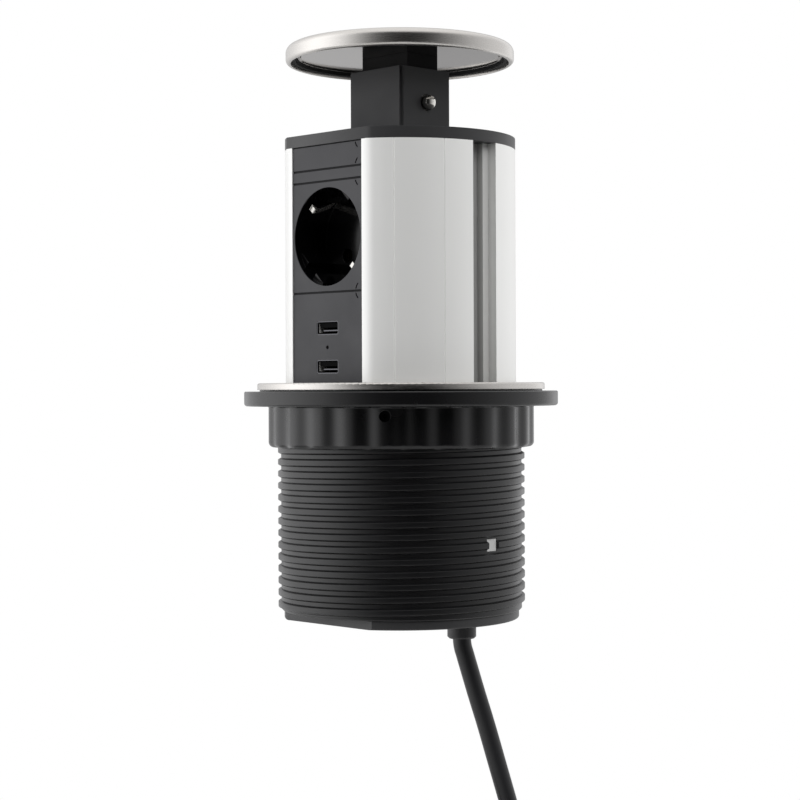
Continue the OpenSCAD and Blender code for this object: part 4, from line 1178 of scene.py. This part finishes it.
@dataclass
class ThreadedSleeve:
    """The sleeve: a D-shaped bore, the lid's pocket, a flange, the thread and the latch window.

    hair sets the wall below the pocket off from the bore, so that reach() can tell them apart. cut says how
    far inside the bore the window's cutter starts, and how long it is.
    """
    bore: float = 49.2
    root: float = 51.05
    ridge_height: float = 1.3
    bottom: float = -92.8
    flange: float = 60.0
    flange_thick: float = 2.0
    rim: float = 0.3
    fillet: float = 0.6
    chamfer: float = 0.5
    lead_in: float = 0.4
    hair: float = 0.001
    pocket: float = -4.6
    flat: float = 42.65
    pitch: float = 5.0
    crest_width: float = 2.1
    root_width: float = 3.6
    thread_low: float = -90.9
    thread_angle: float = 197.2
    turns: int = 17
    window: tuple[float, float, float, float] = (-1.0, 4.9, -66.2, -61.0)
    cut: Flat = (2.0, 6.0)
    keeper_gap: float = 0.1
    keeper_side: float = 0.4
    keeper_in: float = 0.15
    keeper_thick: float = 1.5
    notch: Flat = (0.95, 1.3)
    columns: int = 240

    def outline(self) -> list[Flat]:
        """Gives the sleeve's section.

        Returns:
            Radii and heights, from the lower end up the outside and down the bore.
        """
        rim, wall, top = self.rim, self.bore - self.hair, self.flange_thick
        return [(self.root - self.chamfer, self.bottom), (self.root, self.bottom + self.chamfer),
                (self.root, -self.fillet), (self.root + self.fillet, 0.0), (self.flange - rim, 0.0),
                (self.flange, rim), (self.flange, top - rim), (self.flange - rim, top),
                (self.bore + rim, top), (self.bore, top - rim), (self.bore, self.pocket), (wall, self.pocket),
                (wall, self.bottom + self.lead_in), (self.bore + self.lead_in, self.bottom)]

    def reach(self, radius: float, height: float, angle: float) -> float:
        """Draws the bore's wall in to the flat below the pocket.

        Args:
            radius: the corner's radius on the round.
            height: its height.
            angle: its angle in radians.

        Returns:
            The radius in the D-shaped bore.
        """
        side = -math.sin(angle)
        inner = radius < self.bore or (radius <= self.bore + self.lead_in and height <= self.bottom)
        return self.flat / side if inner and height <= self.pocket and side * radius > self.flat else radius

    def build(self) -> None:
        """Makes the sleeve's body, and its thread in two lengths that the window parts."""
        low_y, high_y, low_z, high_z = self.window
        corners = ((low_y, low_z), (high_y, low_z), (high_y, high_z), (low_y, high_z))
        inside, long = self.cut
        box = prism([(self.bore - inside, y, z) for y, z in corners], (long, 0, 0))
        mesh = cut_out(turned(self.outline(), self.columns, self.reach), [box])
        show("sleeve_body", mesh, SLEEVE_BLACK, "housing", ["threaded_sleeve"], 28.0)
        level = ((low_z + high_z) / 2 - self.thread_low) / self.pitch
        crossing = math.ceil(level - 0.5 + self.thread_angle / 360)
        middle = self.root + self.ridge_height / 2
        before, after = (crossing + (math.degrees(y / middle) - self.thread_angle) / 360
                         for y in (low_y, high_y))
        lengths = (("sleeve_thread_low", 0.0, before), ("sleeve_thread_high", after, self.turns))
        for name, first, last in lengths:
            start = (self.thread_angle + 360 * first, self.thread_low + self.pitch * first)
            Thread(self.pitch).ridge(name, SLEEVE_BLACK, "housing", self.root, self.ridge_height,
                                     self.root_width, self.crest_width, start, last - first)
        self.keeper()

    def keeper(self) -> None:
        """Makes the light grey insert in the window, with a half-round notch in its edge."""
        low_y, high_y, low_z, high_z = self.window
        left, right = low_y + self.keeper_gap, high_y - self.keeper_side
        low, high = low_z + self.keeper_gap, high_z - self.keeper_gap
        deep, half = self.notch
        turns = [math.radians(degrees) for degrees in range(-90, 91, 15)]
        notch = [(left + deep * math.cos(turn), (low + high) / 2 - half * math.sin(turn)) for turn in turns]
        corners = [(left, low), (right, low), (right, high), (left, high), *notch]
        mesh = prism([(self.bore + self.keeper_in, y, z) for y, z in corners], (self.keeper_thick, 0, 0))
        show("latch_keeper", mesh, SLIDE_GREY, "housing")


@dataclass
class FlangeNut:
    """The nut: a wide flange, a grip with shallow flutes, a lock hole and its own thread.

    fillet gives distances out from the grip and down from the shoulder where the two meet, and rows how many
    rings the grip has for its flutes. The flutes start flute_from away from the inner wall and the shoulder,
    and reach their depth within fade. cut says how far inside the wall the hole's cutter starts, and how long
    it is.
    """
    flange: float = 66.55
    top: float = -0.7
    shoulder: float = -6.9
    bottom: float = -24.2
    grip: float = 56.4
    groove: float = 52.85
    crest: float = 51.65
    flutes: int = 24
    flute_depth: float = 1.2
    flute_power: float = 1.35
    lock_angle: float = -50.6
    lock_height: float = -10.6
    lock_radius: float = 2.3
    cut: Flat = (2.0, 8.0)
    edge: float = 1.3
    foot: float = 2.2
    bevel: float = 0.4
    fillet: tuple[Flat, ...] = ((1.2, 0.0), (0.35, 0.1))
    fillet_down: float = 0.5
    rows: int = 8
    flute_from: Flat = (0.9, 0.05)
    fade: Flat = (1.5, 0.6)
    thread_widths: Flat = (2.88, 1.5)
    thread_start: Flat = (254.8, -22.6)
    thread_turns: float = 4.0
    columns_per_flute: int = 18

    def base(self) -> Mesh:
        """Makes the nut without its flutes.

        Returns:
            The mesh.
        """
        edge, foot, bevel, start = self.edge, self.foot, self.bevel, self.shoulder - self.fillet_down
        grip = [(self.grip, start + (self.bottom + foot - start) * i / self.rows) for i in range(self.rows)]
        outline = [(self.groove, self.top), (self.flange - bevel, self.top), (self.flange, self.top - bevel),
                   *arc((self.flange - edge, self.shoulder + edge), edge, 0, -90),
                   *((self.grip + out, self.shoulder - down) for out, down in self.fillet), *grip,
                   *arc((self.grip - foot, self.bottom + foot), foot, 0, -90),
                   (self.groove + bevel, self.bottom), (self.groove, self.bottom + bevel)]
        return turned(outline, self.flutes * self.columns_per_flute)

    def fluted(self) -> Recipe:
        """Makes the tree that presses in the flutes: every point below the shoulder moves in by a wave.

        Returns:
            The tree.
        """
        made = Recipe("Flutes")
        count, depth, first, start, shoulder = made.inputs("Count", "Depth", "First angle", "Inner radius",
                                                           "Shoulder height")
        x, y, z = made.parts(made.do("GeometryNodeInputPosition"))
        angle = made.maths("SUBTRACT", made.maths("ARCTAN2", y, x), first)
        phase = made.maths("MULTIPLY", angle, count)
        wave = made.maths("MULTIPLY_ADD", made.maths("COSINE", phase), 0.5, 0.5)
        hollow = made.maths("POWER", wave, self.flute_power)
        flat = made.do("ShaderNodeCombineXYZ", {"X": x, "Y": y})
        radius = made.vector("LENGTH", flat, out="Value")
        share = made.span(radius, start, made.maths("ADD", start, self.fade[0] * MM))
        below = made.span(z, shoulder, made.maths("SUBTRACT", shoulder, self.fade[1] * MM))
        push = made.maths("MULTIPLY", made.maths("MULTIPLY", hollow, depth),
                          made.maths("MULTIPLY", share, below))
        inward = made.maths("MULTIPLY", made.maths("DIVIDE", push, radius), -1.0)
        made.end(made.do("GeometryNodeSetPosition", {"Geometry": made.start.outputs["Geometry"],
                                                     "Offset": made.scaled(flat, inward)}), NUT_BLACK)
        return made

    def build(self) -> None:
        """Makes the fluted nut with its lock hole, and the thread inside."""
        first = math.radians(self.lock_angle + 180 / self.flutes)
        out, up = self.flute_from
        mesh = self.fluted().bake(
            self.base(), Count=self.flutes, Depth=self.flute_depth * MM, First_angle=first,
            Inner_radius=(self.groove + out) * MM, Shoulder_height=(self.shoulder + up) * MM)
        turn = Matrix.Rotation(math.radians(self.lock_angle), 3, "Z")
        circle = arc((0, self.lock_height), self.lock_radius, 0, 345, 23)
        inside, long = self.cut
        corners = [turn @ Vector((self.groove - inside, y, z)) for y, z in circle]
        hole = prism(corners, turn @ Vector((long, 0, 0)))
        show("nut_body", cut_out(mesh, [hole]), NUT_BLACK, "clamp_nut", ["flange_nut"])
        Thread().ridge("nut_thread", NUT_BLACK, "clamp_nut", self.groove, self.groove - self.crest,
                       *self.thread_widths, self.thread_start, self.thread_turns, inward=True)


# Tower

@dataclass
class ReturnSpring:
    """The spring round the push rod, which the rod's collar presses down by the release travel."""
    radius: float = 4.2
    wire: float = 0.45
    coils: float = 4.0
    length: float = 7.0
    place: float = 6.0
    gap: float = 0.02
    travel: float = 3.0

    def build(self) -> None:
        """Sweeps a round wire along a helix."""
        made = Recipe("Spring")
        curve = made.helix(36)
        wire, = made.inputs("Wire radius")
        circle = made.do("GeometryNodeCurvePrimitiveCircle", {"Resolution": 14, "Radius": wire})
        made.end(made.do("GeometryNodeTransform", {"Geometry": made.sweep(curve, circle),
                                                   "Translation": (self.place * MM, 0.0, 0.0)}), PLATED_STEEL)
        rise = self.length - 2 * (self.wire + self.gap)
        mesh = made.bake(
            Turns=self.coils, Pitch=rise / self.coils * MM, Radius=self.radius * MM, Start_angle=0.0,
            Start_height=(CAP_TOP + self.wire + self.gap) * MM, Wire_radius=self.wire * MM)
        spring = show("return_coil", mesh, PLATED_STEEL, "tower", ["return_spring"])
        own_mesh(spring)


@dataclass
class PortSprings:
    """The leaf and the finger stamped out of each port's shell, which hold an inserted plug.

    leaf gives depths behind the panel's face and heights above the port's middle, and finger distances from
    the port's side and depths.
    """
    heights: Flat = (25.35, 9.45)
    half_width: float = 6.25
    leaf: tuple[Flat, ...] = (
        (1.2, -0.8), (1.6, -0.7), (7.5, -1.6), (9.0, -2.4), (9.0, -2.45), (7.4, -1.95), (1.6, -1.4),
        (1.2, -1.3))
    leaf_side: float = -3.6
    leaf_wide: float = 9.4
    finger: tuple[Flat, ...] = ((-0.02, 1.2), (0.1, 1.1), (0.45, 1.1), (0.5, 1.4), (0.1, 5.5), (-0.02, 5.5))
    finger_down: float = 1.9
    finger_tall: float = 3.9

    def build(self) -> None:
        """Makes a bent leaf over the lower wall and a finger on the left wall of both ports."""
        for name, z in zip(("upper", "lower"), self.heights):
            leaf = [(self.leaf_side, PANEL_FACE + deep, z + up) for deep, up in self.leaf]
            finger = [(out - self.half_width, PANEL_FACE + deep, z - self.finger_down)
                      for out, deep in self.finger]
            # The finger's light grey finish is a painted glint on real tin plate.
            for kind, outline, along, finish in (("leaf", leaf, (self.leaf_wide, 0, 0), BLACK_NICKEL),
                                                 ("finger", finger, (0, 0, self.finger_tall), TIN_PAINTED_GLINT)):
                label = f"port_{kind}_{name}"
                show(label, prism(outline, along), finish, "tower")


@dataclass
class EarthClipTips:
    """The folded tips of the socket's two earth clips, which reach further out than the clips' noses.

    bend gives distances from the socket's axis and depths behind the face.
    """
    middle: float = 62.9
    half_width: float = 1.15
    bend: tuple[Flat, ...] = (
        (18.5, 2.8), (16.3, 2.8), (16.0, 3.1), (16.0, 3.6), (16.4, 3.6), (16.5, 3.4), (17.9, 3.4),
        (17.9, 5.4), (18.5, 5.4))

    def build(self) -> None:
        """Makes a bent tip over each clip, on the diameter that slopes down from left to right."""
        for label, sign in (("earth_clip_tip_a", -1), ("earth_clip_tip_b", 1)):
            radial = Vector((sign, 0.0, -sign)).normalized()
            across = Vector((radial.z, 0.0, -radial.x)) * self.half_width
            start = Vector((0.0, PANEL_FACE, self.middle)) - across
            outline = [start + radial * r + Vector((0.0, deep, 0.0)) for r, deep in self.bend]
            show(label, prism(outline, across * 2), PLATED_STEEL, "tower")


@dataclass
class CapScrews:
    """Four countersunk screws with a six-sided recess, set at the corners of a grid on the top cap."""
    sunk: float = 0.4
    grid: Flat = (66.0, 40.0)
    middle: Flat = (0.0, 2.0)
    head: float = 3.4
    head_deep: float = 1.9
    shank: float = 1.7
    length: float = 9.4
    recess: float = 1.2
    recess_deep: float = 1.2
    bevel: float = 0.15
    recess_bevel: float = 0.1
    head_bevel: float = 0.12
    tip: float = 0.4
    columns: int = 48

    def screw(self) -> Mesh:
        """Makes one screw on the axis; the recess's wall follows a hexagon.

        Returns:
            The mesh.
        """
        face = CAP_TOP - self.sunk
        end, floor = face - self.length, face - self.recess_deep
        outline = [(0.0, floor), (self.recess, floor), (self.recess, face - self.recess_bevel),
                   (self.recess + self.bevel, face), (self.head - self.bevel, face),
                   (self.head, face - self.head_bevel), (self.shank, face - self.head_deep),
                   (self.shank, end + self.tip), (self.shank - self.tip, end), (0.0, end)]

        def hexagon(radius: float, height: float, angle: float) -> float:
            """Draws the recess's wall in to a hexagon.

            Args:
                radius: the corner's radius.
                height: its height.
                angle: its angle in radians.

            Returns:
                The radius there, and any other radius as it is.
            """
            if not 0.0 < radius <= self.recess + self.bevel or height < floor:
                return radius
            return radius * math.cos(math.pi / 6) / math.cos(angle % (math.pi / 3) - math.pi / 6)
        return turned(outline, self.columns, hexagon)

    def build(self) -> None:
        """Sets a screw on each point of a two by two grid."""
        made = Recipe("Screws")
        across, deep = made.inputs("Across", "Deep")
        grid = made.do("GeometryNodeMeshGrid", {
            "Size X": across, "Size Y": deep, "Vertices X": 2, "Vertices Y": 2})
        middle = (*(c * MM for c in self.middle), 0.0)
        moved = made.do("GeometryNodeTransform", {"Geometry": grid, "Translation": middle})
        spots = made.do("GeometryNodeMeshToPoints", {"Mesh": moved})
        made.end(made.do("GeometryNodeInstanceOnPoints", {
            "Points": spots, "Instance": made.start.outputs["Geometry"]}), PLATED_STEEL)
        mesh = made.bake(self.screw(), Across=self.grid[0] * MM, Deep=self.grid[1] * MM)
        show("cap_screw_set", mesh, PLATED_STEEL, "tower", ["cap_screws"])


# The rest of the part

@dataclass
class CadDress:
    """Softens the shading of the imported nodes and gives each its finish."""
    sharp: float = 32.0

    def softener(self) -> bpy.types.NodeTree:
        """Makes a tree that merges a node's loose triangles and shades its curved faces smooth.

        Returns:
            The tree.
        """
        made = Recipe("Smooth shading")
        merged = made.do("GeometryNodeMergeByDistance", {"Geometry": made.start.outputs[0], "Distance": 1e-6})
        angle = made.do("GeometryNodeInputMeshEdgeAngle", out="Unsigned Angle")
        soft = made.do("FunctionNodeCompare", {0: angle, 1: math.radians(self.sharp)}, data_type="FLOAT",
                       operation="LESS_THAN")
        shape = merged
        for domain, smooth in (("FACE", True), ("EDGE", soft)):
            shape = made.do("GeometryNodeSetShadeSmooth", {"Geometry": shape, "Shade Smooth": smooth},
                            domain=domain)
        made.close(shape)
        return made.tree

    def build(self) -> None:
        """Dresses every node."""
        tree = self.softener()
        for finish, names in NODE_FINISHES.items():
            for node in (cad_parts[name] for name in names):
                for place in node.material_slots:
                    place.material = finish.material()
                if not node.material_slots:
                    node.data.materials.append(finish.material())
                node.modifiers.new("smooth", "NODES").node_group = tree
        LOG.info("%d nodes dressed", sum(map(len, NODE_FINISHES.values())))


def main() -> None:
    """Builds the part's looks in order."""
    logging.basicConfig(level=logging.INFO, format="%(message)s")
    studio = Studio()
    studio.camera()
    for part in (SupplyLead, ThreadedSleeve, FlangeNut, ReturnSpring, PortSprings, EarthClipTips, CapScrews,
                 CadDress):
        part().build()
    studio.light()
    studio.key_lights()
    studio.floor()


if __name__ == "__main__":
    main()
